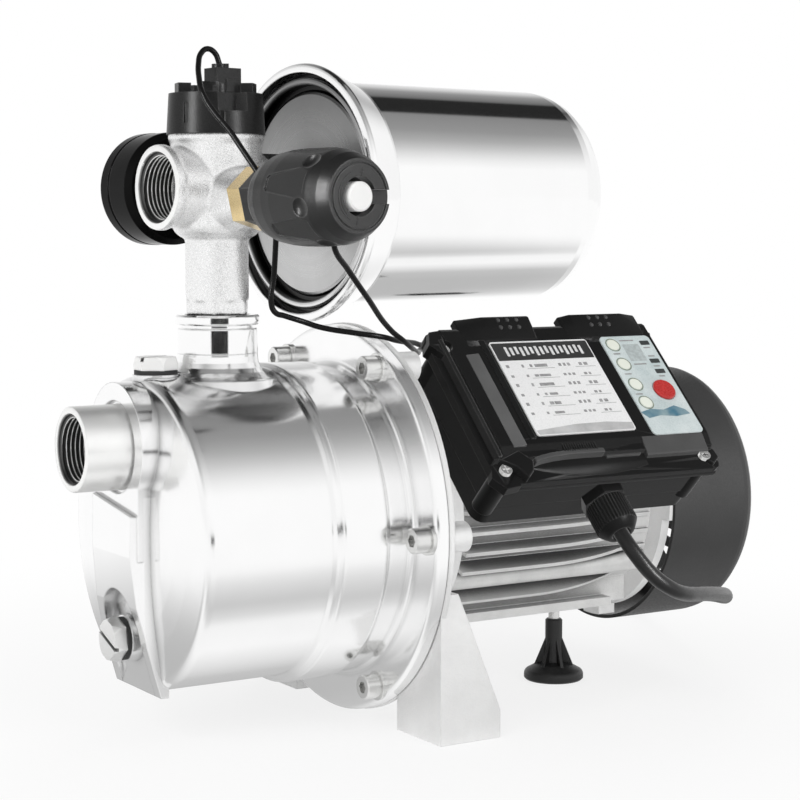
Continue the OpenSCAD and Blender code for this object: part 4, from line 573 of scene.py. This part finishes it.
suction_mouth = (-34, 0, 145)
along_shaft = (1, 0, 0)
suction = dress(lathe("suction_thread", suction_outline, suction_mouth, along_shaft),
                threaded("suction_metal", suction_mouth, along_shaft))
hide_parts("suction_port")
seal_black = finish("seal_black", (0.02, 0.02, 0.02), (0.03, 0.03, 0.03), 0.6)
for node in ("plug_seals", "casing_gasket", "tank_bladder", "lead_sleeves"):
    dress(node, seal_black)


# The jet, the diffuser and the impeller inside the casing: glass-filled plastic, with the impeller cast
# in brass, and behind them the ceramic and carbon faces of the shaft seal.
jet_plastic = finish("jet_plastic", (0.10, 0.10, 0.115), (0.13, 0.13, 0.145), 0.5)
for node in ("ejector_nozzle", "venturi_tube", "diffuser"):
    dress(node, jet_plastic)
dress("impeller", finish("impeller_brass", (0.70, 0.50, 0.22), (0.62, 0.43, 0.18), 0.3, 1.0))
dress("seal_seat", finish("seal_ceramic", (0.86, 0.85, 0.82), (0.82, 0.81, 0.78), 0.2))
dress("seal_head", finish("seal_carbon", (0.12, 0.12, 0.13), (0.16, 0.16, 0.17), 0.45))


# The bracket with its two feet, the finned motor housing and its rear shield: die-cast aluminium,
# shot-blasted to a pale even skin. Bright steel screws and bolts hold them together.
# Its corners and gaps are painted darker as shade, and its edges lighter as wear and painted highlight.
cast_aluminium = finish("cast_aluminium", (0.93, 0.93, 0.925), (0.86, 0.86, 0.855), 0.48, 0.75, spread=0.08,
                        patch_size=0.025, grain_size=0.0009, relief=0.00006, edge=0.0008,
                        rubbed=(0.95, 0.95, 0.95), hollows=(0.010, 0.8, (0.10, 0.10, 0.10)))
# The motor housing's copy of the aluminium is darker as painted shade. Its fin gaps are painted deep shade
# and its fin edges painted highlights.
shaded_fin_aluminium = finish("shaded_fin_aluminium", (0.80, 0.80, 0.79), (0.66, 0.66, 0.655), 0.46, 0.75, spread=0.08,
                       patch_size=0.02, grain_size=0.0008, relief=0.00010, edge=0.0007,
                       rubbed=(1, 1, 1), edge_wear_and_highlight_share=0.9, hollows=(0.013, 0.95, (0.045, 0.045, 0.045)))
for node in ("pump_bracket", "rear_shield"):
    dress(node, cast_aluminium)
dress("motor_housing", shaded_fin_aluminium)
bright_steel = finish("bright_steel", (0.82, 0.82, 0.81), (0.74, 0.74, 0.73), 0.22, 1.0,
                      rubbed=(0.95, 0.95, 0.95))
for node in ("casing_bolts", "casing_washers", "tie_bolts", "levelling_stud", "stud_nut", "lid_screws"):
    dress(node, bright_steel)


# Inside the motor, unseen: the stator's and the rotor's laminated steel cores, the varnished copper
# windings, and the shaft in its two bearings.
core_steel = finish("core_steel", (0.40, 0.40, 0.42), (0.33, 0.33, 0.35), 0.4, 1.0, stretch=(1200, 4, 4),
                    line_size=1.0)
for node in ("stator_core", "rotor_core", "motor_shaft", "bearings"):
    dress(node, core_steel)
dress("windings", finish("winding_copper", (0.55, 0.24, 0.08), (0.42, 0.17, 0.05), 0.35, 0.6))


# The fan on the shaft's end, moulded in black plastic, and its cover, pressed from sheet steel with
# rings of slots in its end and painted satin black.
dress("cooling_fan", finish("fan_plastic", (0.05, 0.05, 0.05), (0.06, 0.06, 0.06), 0.5))
cover_black = finish("cover_black", (0.020, 0.020, 0.020), (0.026, 0.026, 0.026), 0.36, patch_size=0.06,
                     grain_size=0.0012, relief=0.00002, edge=0.0010, rubbed=(0.05, 0.05, 0.05),
                     **sheen(0.2))
dress("fan_cover", cover_black)


# The levelling foot: a cone of hard black rubber with six ribs, moulded on the end of the threaded
# stud that screws into the motor's belly plate.
dress("rubber_foot", finish("foot_rubber", (0.006, 0.006, 0.006), (0.010, 0.010, 0.010), 0.4,
                            relief=0.00003))


# The control box: black satin plastic, lid and base, on the motor at 45 degrees. The lid carries the
# rating plate and the key panel, two finger grips on its back edge and a lipped hollow along its front.
box_black = finish("box_black", (0.003, 0.003, 0.003), (0.005, 0.005, 0.005), 0.33, patch_size=0.05,
                   grain_size=0.0005, relief=0.000015, edge=0.0008, rubbed=(0.03, 0.03, 0.03), **low_sheen)
for node in ("control_base", "control_lid", "cable_gland", "gland_nut"):
    dress(node, box_black)


def loft(name, loops, material, edge=0.4):
    """A piece of the pump through loops of points in millimetres, closed at both ends, its corners
    rounded by edge."""
    count = len(loops[0])
    vertices = [from_nose(*point) for loop in loops for point in loop]
    faces = [tuple(range(count)), tuple(range(len(vertices) - count, len(vertices)))]
    for k in range(len(loops) - 1):
        faces += [(k * count + j, k * count + (j + 1) % count, (k + 1) * count + (j + 1) % count,
                   (k + 1) * count + j) for j in range(count)]
    made = new_piece(name, vertices, faces)
    if edge:
        bevel = made.modifiers.new("round", "BEVEL")
        bevel.width = edge / 1000
        bevel.segments = 3
        bevel.limit_method = "ANGLE"
        bevel.harden_normals = True
    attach(made, "pump")
    return dress(made, material)


def across_lid(name, outline, u0, u1, material=box_black, edge=0.4):
    """A moulding whose outline of (v, n) points runs along the motor from u0 to u1."""
    return loft(name, [[on_box(u, v, n) for v, n in outline] for u in (u0, u1)], material, edge)


def ribbed_nut(turn):
    """The gland nut's outline: forty fine ribs for the fingers, and a cone down to the cord."""
    rib = 0.6 if (turn * 40) % 1 < 0.5 else 0.0
    return [(8.4, 0), (10.1, 0), (10.4 + rib, 0.7), (10.4 + rib, 13.8), (10.3, 15), (7.4, 18.6), (6.4, 19),
            (5.2, 19), (3.9, 14)]


out_of_gland = (0, -1, -1)
nut = dress(lathe("ribbed_nut", ribbed_nut, nut_line(5.6), out_of_gland, 160), box_black)
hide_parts("gland_nut")


def up_from_lid(name, outline, low, high, material=box_black, edge=0.4):
    """A moulding whose outline of (u, v) points stands on the lid from one height to the other."""
    return loft(name, [[on_box(u, v, n) for u, v in outline] for n in (low, high)], material, edge)


def copy_of(name, node):
    """A copy of a CAD node, for modifiers to cut and smooth."""
    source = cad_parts[node]
    copied = bpy.data.objects.new(name, source.data.copy())
    copied.matrix_world = source.matrix_world
    scene.collection.objects.link(copied)
    return copied


def settle(changed, node):
    """Makes what a copy's modifiers did its own mesh, and shows it in its CAD node's place."""
    bpy.context.view_layer.update()
    made = bpy.data.meshes.new_from_object(changed.evaluated_get(bpy.context.evaluated_depsgraph_get()))
    changed.modifiers.clear()
    changed.data = made
    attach(changed, "pump")
    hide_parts(node)
    return changed


# The lid is cut down to its bare deck and front ledge, and the mouldings below stand on it.
deck = 101.5
lid = copy_of("lid_moulding", "control_lid")
above_deck = across_lid("above_deck", [(-70, deck + 0.02), (60, deck + 0.02), (60, 120), (-70, 120)],
                        120, 300)
over_front = across_lid("over_front", [(-70, 96.52), (-47.2, 96.52), (-47.2, 120), (-70, 120)], 120, 300)
for cutter in (above_deck, over_front):
    cutter.modifiers.clear()
    cut = lid.modifiers.new("cut", "BOOLEAN")
    cut.object = cutter
dress(settle(lid, "control_lid"), box_black)
for cutter in (above_deck, over_front):
    bpy.data.objects.remove(cutter)

# Black plastic painted lighter where its facets face the light, as painted light: the sloping strip, the
# lips, the panel's slope and the grip dots.
painted_lit_strip = finish("painted_lit_strip", (0.060, 0.060, 0.060), (0.045, 0.045, 0.045), 0.4, grain_size=0.0005,
                    relief=0.00001, **low_sheen)
painted_lit_lip = finish("painted_lit_lip", (0.040, 0.040, 0.040), (0.028, 0.028, 0.028), 0.38, grain_size=0.0005,
                  relief=0.00001, **low_sheen)
# The rib's corners are painted light grey: a painted highlight.
rib_black = finish("rib_black", (0.012, 0.012, 0.012), (0.008, 0.008, 0.008), 0.35, edge=0.0006,
                   rubbed=(0.16, 0.16, 0.16), **low_sheen)


def along_lid(name, outline, v0, v1, material, edge=0.3):
    """A moulding whose outline of (u, n) points runs across the motor from v0 to v1."""
    return loft(name, [[on_box(u, v, n) for u, n in outline] for v in (v0, v1)], material, edge)


along_lid("sloping_strip", [(153.6, 99), (153.6, 101.7), (161.0, 102.6), (161.0, 99)], -41, 19, painted_lit_strip)
along_lid("edge_rib", [(142.6, 95), (142.6, 101.2), (144.6, 101.8), (145.2, 95)], -46, 30, rib_black)
along_lid("dark_rib", [(165.4, 100), (165.4, 102.4), (168.6, 102.4), (168.6, 100)], -37, 28, box_black)

# The hollow's two lips stand at the front edge: a long bowed one and, past a notch, a short lower one.
bow = [(162.5, -50.6), (168, -49.2), (175, -48.1), (183, -47.5), (195, -47.3), (206.4, -47.5)]
up_from_lid("long_lip", bow + [(u, v + 3.0) for u, v in reversed(bow)], 92, 101.2, painted_lit_lip, 0.8)
up_from_lid("short_lip", [(208, -48.6), (220, -48.4), (229, -48.6), (231.4, -46.4), (208, -45.6)], 92, 98.2,
            painted_lit_lip, 0.6)
across_lid("panel_slope", [(-39.5, 101.6), (-49.6, 99.4), (-50.2, 98.6), (-50.2, 92), (-39.5, 92)],
           232.6, 272.6, painted_lit_lip, 0.5)
across_lid("front_wall", [(-46, 97), (-49.5, 97), (-60.2, 93.6), (-60.2, 91.2), (-46, 91.2)], 141, 275,
           box_black, 0.5)
for i in range(14):
    u = 182 + 1.5 * i
    along_lid("grip_ridge_%d" % i, [(u, 99), (u + 0.2, 101.3), (u + 0.9, 101.3), (u + 1.1, 99)],
              -45.5, -39.6, box_black, 0)
up_from_lid("front_left_boss", [(142.2, -47.6), (155.8, -42.4), (161.4, -49.4), (159, -55.2), (154, -59.4),
                                (151, -53.2), (146, -49.6)], 92, 101, box_black, 0.9)
up_from_lid("front_right_corner", [(268, -50), (276.8, -48), (277.6, -54), (272, -58), (269, -55)], 92, 98.4,
            box_black, 0.8)

# The finger grips: a ramp behind the label rises to a flat ridge with two rows of three dots.
ramp = [(27.5, 101.4), (34.5, 103.6), (41, 104.6), (42.6, 103.4), (42.8, 97)]
dot = [(0, 1.1), (0.7, 1.05), (1.1, 0.7), (1.25, 0)]
out_of_lid = Vector(on_box(0, 0, 1)) - Vector(on_box(0, 0, 0))
for side, u0, u1, lean0, lean1 in (("left", 157, 203, 16, 1.5), ("right", 222, 273, 6.5, 11)):
    loops = []
    for u, raised in ((u0, False), (u0 + lean0, True), (u1 - lean1, True), (u1, False)):
        loops.append([on_box(u, v, n if raised else min(n, 101.6)) for v, n in ramp] + [on_box(u, 27.5, 97)])
    loft(side + "_finger_grip", loops, box_black, 0.7)
    middle = (u0 + lean0 + u1 - lean1) / 2
    for du in (-5.7, 0, 5.7):
        for v, n in ((34.8, 103.4), (39.2, 104.0)):
            dress(lathe("grip_dot_%s_%d_%d" % (side, du, v), dot, on_box(middle + du, v, n), out_of_lid, 16),
                  painted_lit_lip)


# What is stuck on the lid: a white rating plate with a dark header and ruled rows, and a silver-blue
# key panel with a red button and four lamps. Both are films, printed with rows of plain bars.
def rounded(u0, u1, v0, v1, r, fine=4):
    """A rounded rectangle's (u, v) points."""
    corners = ((u1 - r, v1 - r, 0), (u0 + r, v1 - r, 90), (u0 + r, v0 + r, 180), (u1 - r, v0 + r, 270))
    return [(u + r * cos(radians(start + 90 * k / fine)), v + r * sin(radians(start + 90 * k / fine)))
            for u, v, start in corners for k in range(fine + 1)]


def printed(name, shapes, lift, material):
    """Ink on the lid: flat shapes given by their (u, v) points, lift millimetres above the deck."""
    vertices, faces = [], []
    for shape in shapes:
        faces.append(tuple(range(len(vertices), len(vertices) + len(shape))))
        vertices += [from_nose(*on_box(u, v, deck + lift)) for u, v in shape]
    layer = new_piece(name, vertices, faces, smooth=False)
    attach(layer, "pump")
    return dress(layer, material)


def ring(u, v, outer, inner, start=0, end=360, fine=24):
    """The short parts of a flat ring, as shapes for printing."""
    turns = [radians(start + (end - start) * k / fine) for k in range(fine + 1)]
    return [[(u + r * cos(t), v + r * sin(t)) for r, t in ((outer, a), (outer, b), (inner, b), (inner, a))]
            for a, b in zip(turns, turns[1:])]


plate_top = 0.5
first_ink = plate_top + 0.03
last_ink = plate_top + 0.06
dress("rating_plate", finish("plate_white", (0.86, 0.86, 0.86), (0.82, 0.82, 0.82), 0.3, relief=0.000005))
header_ink = finish("header_ink", (0.02, 0.02, 0.02), (0.035, 0.035, 0.035), 0.35)
grey_ink = finish("grey_ink", (0.22, 0.22, 0.22), (0.40, 0.40, 0.40), 0.5, patch_size=0.003)
pale_ink = finish("pale_ink", (0.62, 0.62, 0.62), (0.8, 0.8, 0.8), 0.5, patch_size=0.002)
printed("plate_header", [rounded(171.2, 231.4, 13.6, 25.4, 0.6)], first_ink, header_ink)
printed("header_bars", [rounded(178 + 3.1 * i, 179.7 + 3.1 * i, 16.4 + 0.7 * (i % 3), 22.8 - 0.5 * (i % 2),
                                0.3) for i in range(16)], last_ink, pale_ink)
rows = [9.6, 3.2, -3.0, -9.2, -15.4, -21.4]
rules = [rounded(u0, u1, v - 1.9, v - 1.62, 0.1) for v in rows for u0, u1 in ((186, 203), (216, 229))]
word_bars = [rounded(u0, u1, v - 0.9, v + 1.1 - 0.4 * (i % 2), 0.2) for i, v in enumerate(rows)
             for u0, u1 in ((173.5, 175.4), (183, 184.4), (188, 189.6 + i % 3), (191, 199 - i), (206, 207.8),
                            (209, 210.6), (211.6, 213.4), (219, 221), (222, 224.5 - i % 2))]
printed("plate_rules", rules, first_ink, grey_ink)
printed("plate_words", word_bars, plate_top + 0.035, grey_ink)
# The plate's lower edge, where it rolls down over the lid, is painted grey as shade.
painted_edge_shade = finish("painted_edge_shade", (0.42, 0.42, 0.42), (0.60, 0.60, 0.60), 0.4, patch_size=0.01)
printed("plate_edge_shade", [[(172, -34.9), (231, -34.9), (231.6, -30.6), (216, -29.2), (196, -29.6),
                        (171.2, -32.2)]], first_ink, painted_edge_shade)

panel_silver = finish("panel_silver", (0.50, 0.58, 0.585), (0.68, 0.74, 0.74), 0.3, patch_size=0.016,
                      relief=0.000005)
dress("key_panel", panel_silver)
dress("start_button", finish("button_red", (0.56, 0.030, 0.026), (0.46, 0.022, 0.020), 0.28,
                             patch_size=0.004))
dress("indicator_lenses", finish("lens_milk", (0.80, 0.82, 0.72), (0.84, 0.88, 0.80), 0.2))
lamp_u, lamp_v = 247.6, (21.4, 8.0, -6.0, -18.4)
dark_ink = finish("dark_ink", (0.03, 0.035, 0.035), (0.05, 0.055, 0.055), 0.4)
printed("lens_rings", [q for v in lamp_v for q in ring(lamp_u, v, 4.5, 3.9)], last_ink,
        finish("lens_ring_ink", (0.16, 0.22, 0.17), (0.26, 0.28, 0.2), 0.4, patch_size=0.01))
printed("button_ring", ring(263.6, -10.8, 6.6, 5.9), last_ink, dark_ink)
printed("panel_windows", [rounded(u - 3.2, u + 3.0, v - 1.5, v + 1.5, 0.5) for u, v in
                          ((269.2, 22.2), (269.0, 9.4), (268.6, 2.2))], last_ink, dark_ink)
printed("panel_bars", [rounded(u, u + w, v - 0.45, v + 0.45, 0.2) for u, v, w in (
    (244.6, 15.2, 4.6), (244.4, 1.2, 4.6), (244.0, -12.6, 4.6), (253, 24.2, 9.6), (254, 7.6, 8.4),
    (266.6, 18.8, 4.4), (266.4, 12.8, 4.2), (266.2, 5.8, 4.2), (266.0, -1.2, 3.8))], last_ink, grey_ink)
printed("panel_patch", [rounded(253.4, 264.4, 9.8, 21.6, 0.4)], plate_top + 0.05,
        finish("patch_grey", (0.36, 0.40, 0.40), (0.52, 0.58, 0.58), 0.4, patch_size=0.002))
printed("panel_wave", [[(240.6, -24.6), (248, -22.8), (256, -23.8), (264, -21.4), (270, -24.4),
                        (271.6, -27.4), (262, -28.6), (252, -27.4), (244, -28.8)]], plate_top + 0.05,
        finish("wave_blue", (0.04, 0.16, 0.24), (0.30, 0.40, 0.42), 0.35, patch_size=0.012))
dress("circuit_board", finish("board_green", (0.03, 0.16, 0.06), (0.04, 0.2, 0.08), 0.35))
dress("capacitor", finish("capacitor_pale", (0.75, 0.75, 0.72), (0.7, 0.7, 0.68), 0.45))


# The five-way fitting: cast in brass, nickel-plated and sand-blasted to a sparkling grain. It screws
# on the discharge pipe and carries the tank, both switches and the gauge.
# Its gaps and corners are painted darker as shade, and its edges white as wear and painted highlight.
blasted_nickel = finish("blasted_nickel", (1.0, 1.0, 1.0), (0.82, 0.82, 0.82), 0.28, 0.85, spread=0.10,
                        patch_size=0.0010, grain_size=0.0006, relief=0.00007, edge=0.0012,
                        rubbed=(1, 1, 1), hollows=(0.010, 0.4, (0.35, 0.35, 0.35)))


def cast_copy(name, node, voxel, rounds, cutter):
    """A copy of a CAD node with the soft inner corners of a casting: cut, remeshed fine and smoothed."""
    rough_copy = copy_of(name, node)
    cut = rough_copy.modifiers.new("cut", "BOOLEAN")
    cut.object = cutter
    grid = rough_copy.modifiers.new("grid", "REMESH")
    grid.mode = "VOXEL"
    grid.voxel_size = voxel
    grid.use_smooth_shade = True
    even = rough_copy.modifiers.new("even", "SMOOTH")
    even.iterations = rounds
    return settle(rough_copy, node)


outlet_face = on_fitting(-34.2, 0, 270)
inwards = (cos(fitting_turn), sin(fitting_turn), 0)
drill_r = 16.9
drill = lathe("drill", [(0, -3), (drill_r, -3), (drill_r, bore_depth), (0, bore_depth)], outlet_face,
              inwards)
dress(cast_copy("fitting_casting", "five_way_body", voxel=0.0008, rounds=5, cutter=drill), blasted_nickel)
bpy.data.objects.remove(drill)


def outlet_outline(turn):
    """The outlet's rim and thread, which line the drilled mouth."""
    return [(17.0, bore_depth + 0.3), (17.0, 1), (20.1, 0.9), (20.45, 0.5), (20.3, 0.05), (19.9, -0.1),
            (17.4, -0.1)] + mouth_thread(turn) + [(15.3, bore_depth + 0.3), (17.0, bore_depth + 0.3)]


dress(lathe("outlet_thread", outlet_outline, outlet_face, inwards),
      threaded("outlet_metal", outlet_face, inwards))


# The flow switch on top of the fitting, the gauge behind it and the pressure switch in front: black
# plastic cases, each screwed into its branch, the pressure switch with a brass nut.
switch_black = finish("switch_black", (0.004, 0.004, 0.004), (0.007, 0.007, 0.007), 0.30, patch_size=0.02,
                      grain_size=0.0005, relief=0.000015, edge=0.0008, rubbed=(0.04, 0.04, 0.04),
                      **low_sheen)
for node in ("flow_cap", "flow_sensor"):
    dress(node, switch_black)
# The pressure switch's case is painted near-black in its hollows as shade.
housing_grey = finish("housing_grey", (0.007, 0.007, 0.007), (0.005, 0.005, 0.005), 0.34, patch_size=0.03,
                      grain_size=0.0005, relief=0.000012, edge=0.0009, rubbed=(0.05, 0.05, 0.05),
                      edge_wear_and_highlight_share=0.7, hollows=(0.009, 1.0, (0.001, 0.001, 0.001)), **sheen(0.22))
dress("switch_housing", housing_grey)
switch_z = 264.5
switch_face = 118


def on_switch(r, turn, d):
    """A point about the pressure switch's axis: radius and turn, and d out from the pipe's axis."""
    return on_fitting(r * cos(radians(turn)), -d, switch_z + r * sin(radians(turn)))


def raised_line(name, path):
    """A thin raised line on the switch's face through (radius, turn) points."""
    section = ((-0.3, -0.2), (0.3, -0.2), (0.2, 0.3), (-0.2, 0.3))
    loft(name, [[on_switch(r + side, turn, switch_face + up) for side, up in section] for r, turn in path],
         housing_grey, 0)


raised_line("face_arc", [(11.6, t) for t in range(112, 246, 8)])
raised_line("face_arc_inner", [(10.4, t) for t in range(150, 238, 8)])
for name, turn in (("upper", 84), ("lower", 262)):
    raised_line("face_mark_" + name, [(r, turn) for r in (9.8, 11.2, 12.6)])
raised_line("face_mark_cross", [(11.2, 78), (11.2, 84), (11.2, 90)])
dress("flow_poppet", finish("poppet_acetal", (0.80, 0.80, 0.76), (0.76, 0.76, 0.72), 0.4))
dress("gauge_case", finish("gauge_black", (0.001, 0.001, 0.001), (0.002, 0.002, 0.002), 0.16, spread=0.03,
                           relief=0.000003, edge=0.0008, **sheen(0.05)))
dress("gauge_face", finish("dial_white", (0.86, 0.86, 0.84), (0.84, 0.84, 0.82), 0.4))
gauge_z = 270.5
dial_front = 60.92


def dial_mark(name, corners):
    """A flat mark on the gauge's dial through (radius, turn) corners, the turn as its reader sees it."""
    points = [on_fitting(-r * cos(radians(turn)), dial_front, gauge_z + r * sin(radians(turn)))
              for r, turn in corners]
    mark = new_piece(name, [from_nose(*point) for point in points], [tuple(range(len(points)))],
                     smooth=False)
    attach(mark, "pump")
    dress(mark, dark_ink)


# The scale runs clockwise from the pointer's rest, with a longer mark at every fifth step.
scale_start, scale_step, scale_r = 225, 10.8, 22.6
for step in range(26):
    turn = scale_start - scale_step * step
    inner_r, half = (17.6, 0.9) if step % 5 == 0 else (19.6, 0.45)
    dial_mark("dial_mark_%d" % step, [(inner_r, turn - half), (scale_r, turn - half), (scale_r, turn + half),
                                      (inner_r, turn + half)])
for part in range(9):
    turns = [scale_start - 30 * part - 5 * t for t in range(7)]
    dial_mark("dial_arc_%d" % part, [(scale_r, t) for t in turns] + [(23.0, t) for t in reversed(turns)])
dress("gauge_pointer", finish("pointer_red", (0.55, 0.04, 0.03), (0.5, 0.04, 0.03), 0.35))
gauge_glass, tree, out = new_material("gauge_glass")
clear = put(tree, "BsdfPrincipled", {"Base Color": (0.96, 0.98, 0.98, 1), "Roughness": 0.02, "IOR": 1.49,
                                     "Transmission Weight": 1.0})
tree.links.new(clear.outputs[0], out.inputs["Surface"])
dress("gauge_lens", gauge_glass)
dress("switch_nut", finish("nut_brass", (0.83, 0.66, 0.36), (0.76, 0.58, 0.30), 0.28, 1.0,
                           rubbed=(0.93, 0.8, 0.5)))
switch_way = (sin(fitting_turn), -cos(fitting_turn), 0)
# The pin's seat in its hole, beyond 7 mm from the axis, is painted near-black as shade.
dress("adjusting_pin", finish("pin_white", (0.90, 0.90, 0.89), (0.86, 0.86, 0.85), 0.35, relief=0.000003,
                              turned=(from_nose(*on_fitting(0, -60, switch_z)), switch_way),
                              bands=((0.0, 1.0), (0.0069, 1.0), (0.0070, 0.01), (0.02, 0.01))))


# The pressure tank: a deep-drawn, mirror-polished shell, rolled over a satin end plate with pressed
# grooves. A rubber bladder lies inside it, and its air valve is at the far end.
dress("tank_shell", mirror_steel)
# The end plate is painted darker towards the top and in its grooves as shade, and brighter on the crests
# between as painted highlights.
dress("tank_end", finish("tank_plate", (0.62, 0.62, 0.62), (0.55, 0.55, 0.55), 0.28, 1.0, spread=0.02,
                         relief=0.000001, ring_size=0.002, fade=(0.235, 0.320, 1.0, 0.30),
                         turned=(from_nose(*on_fitting(0, 0, 268)), inwards),
                         bands=((0.0, 1.0), (0.0500, 0.9), (0.0514, 1.3), (0.0519, 0.10), (0.0548, 0.06),
                                (0.0556, 1.3), (0.0574, 1.5), (0.0584, 0.12), (0.0606, 0.08), (0.0612, 1.2),
                                (0.07, 1.5))))
dress("air_valve", finish("valve_cap", (0.03, 0.03, 0.03), (0.04, 0.04, 0.04), 0.5))


# What the two strips light, by its material: the black pieces, and for the left strip only those on
# the fitting. As in the photograph, the polished steel mirrors none of these, nor the prints, what is
# inside the box and the motor, or the motor's own pieces.
fitting_skins = {"switch_black", "housing_grey", "gauge_black", "lead_black"}
box_skins = {"box_black", "rib_black", "painted_lit_strip", "painted_lit_lip", "cover_black", "cord_black"}
printed_skins = {"plate_white", "header_ink", "grey_ink", "pale_ink", "painted_edge_shade", "panel_silver",
                 "button_red", "lens_milk", "dark_ink", "lens_ring_ink", "patch_grey", "wave_blue"}
inner_skins = {"board_green", "capacitor_pale", "winding_copper", "core_steel", "nut_brass"}
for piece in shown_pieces():
    skin = piece.data.materials[0].name.split(".")[0] if piece.data.materials else None
    if skin in fitting_skins | box_skins:
        black_pieces.objects.link(piece)
    if skin in fitting_skins:
        black_fittings.objects.link(piece)
    if skin in fitting_skins | box_skins | printed_skins | inner_skins:
        piece.visible_glossy = False
for node in ("motor_housing", "stator_core", "windings", "rotor_core", "motor_shaft", "bearings",
             "rear_shield", "cooling_fan", "tie_bolts", "lead_sleeves", "lid_screws"):
    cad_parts[node].visible_glossy = False
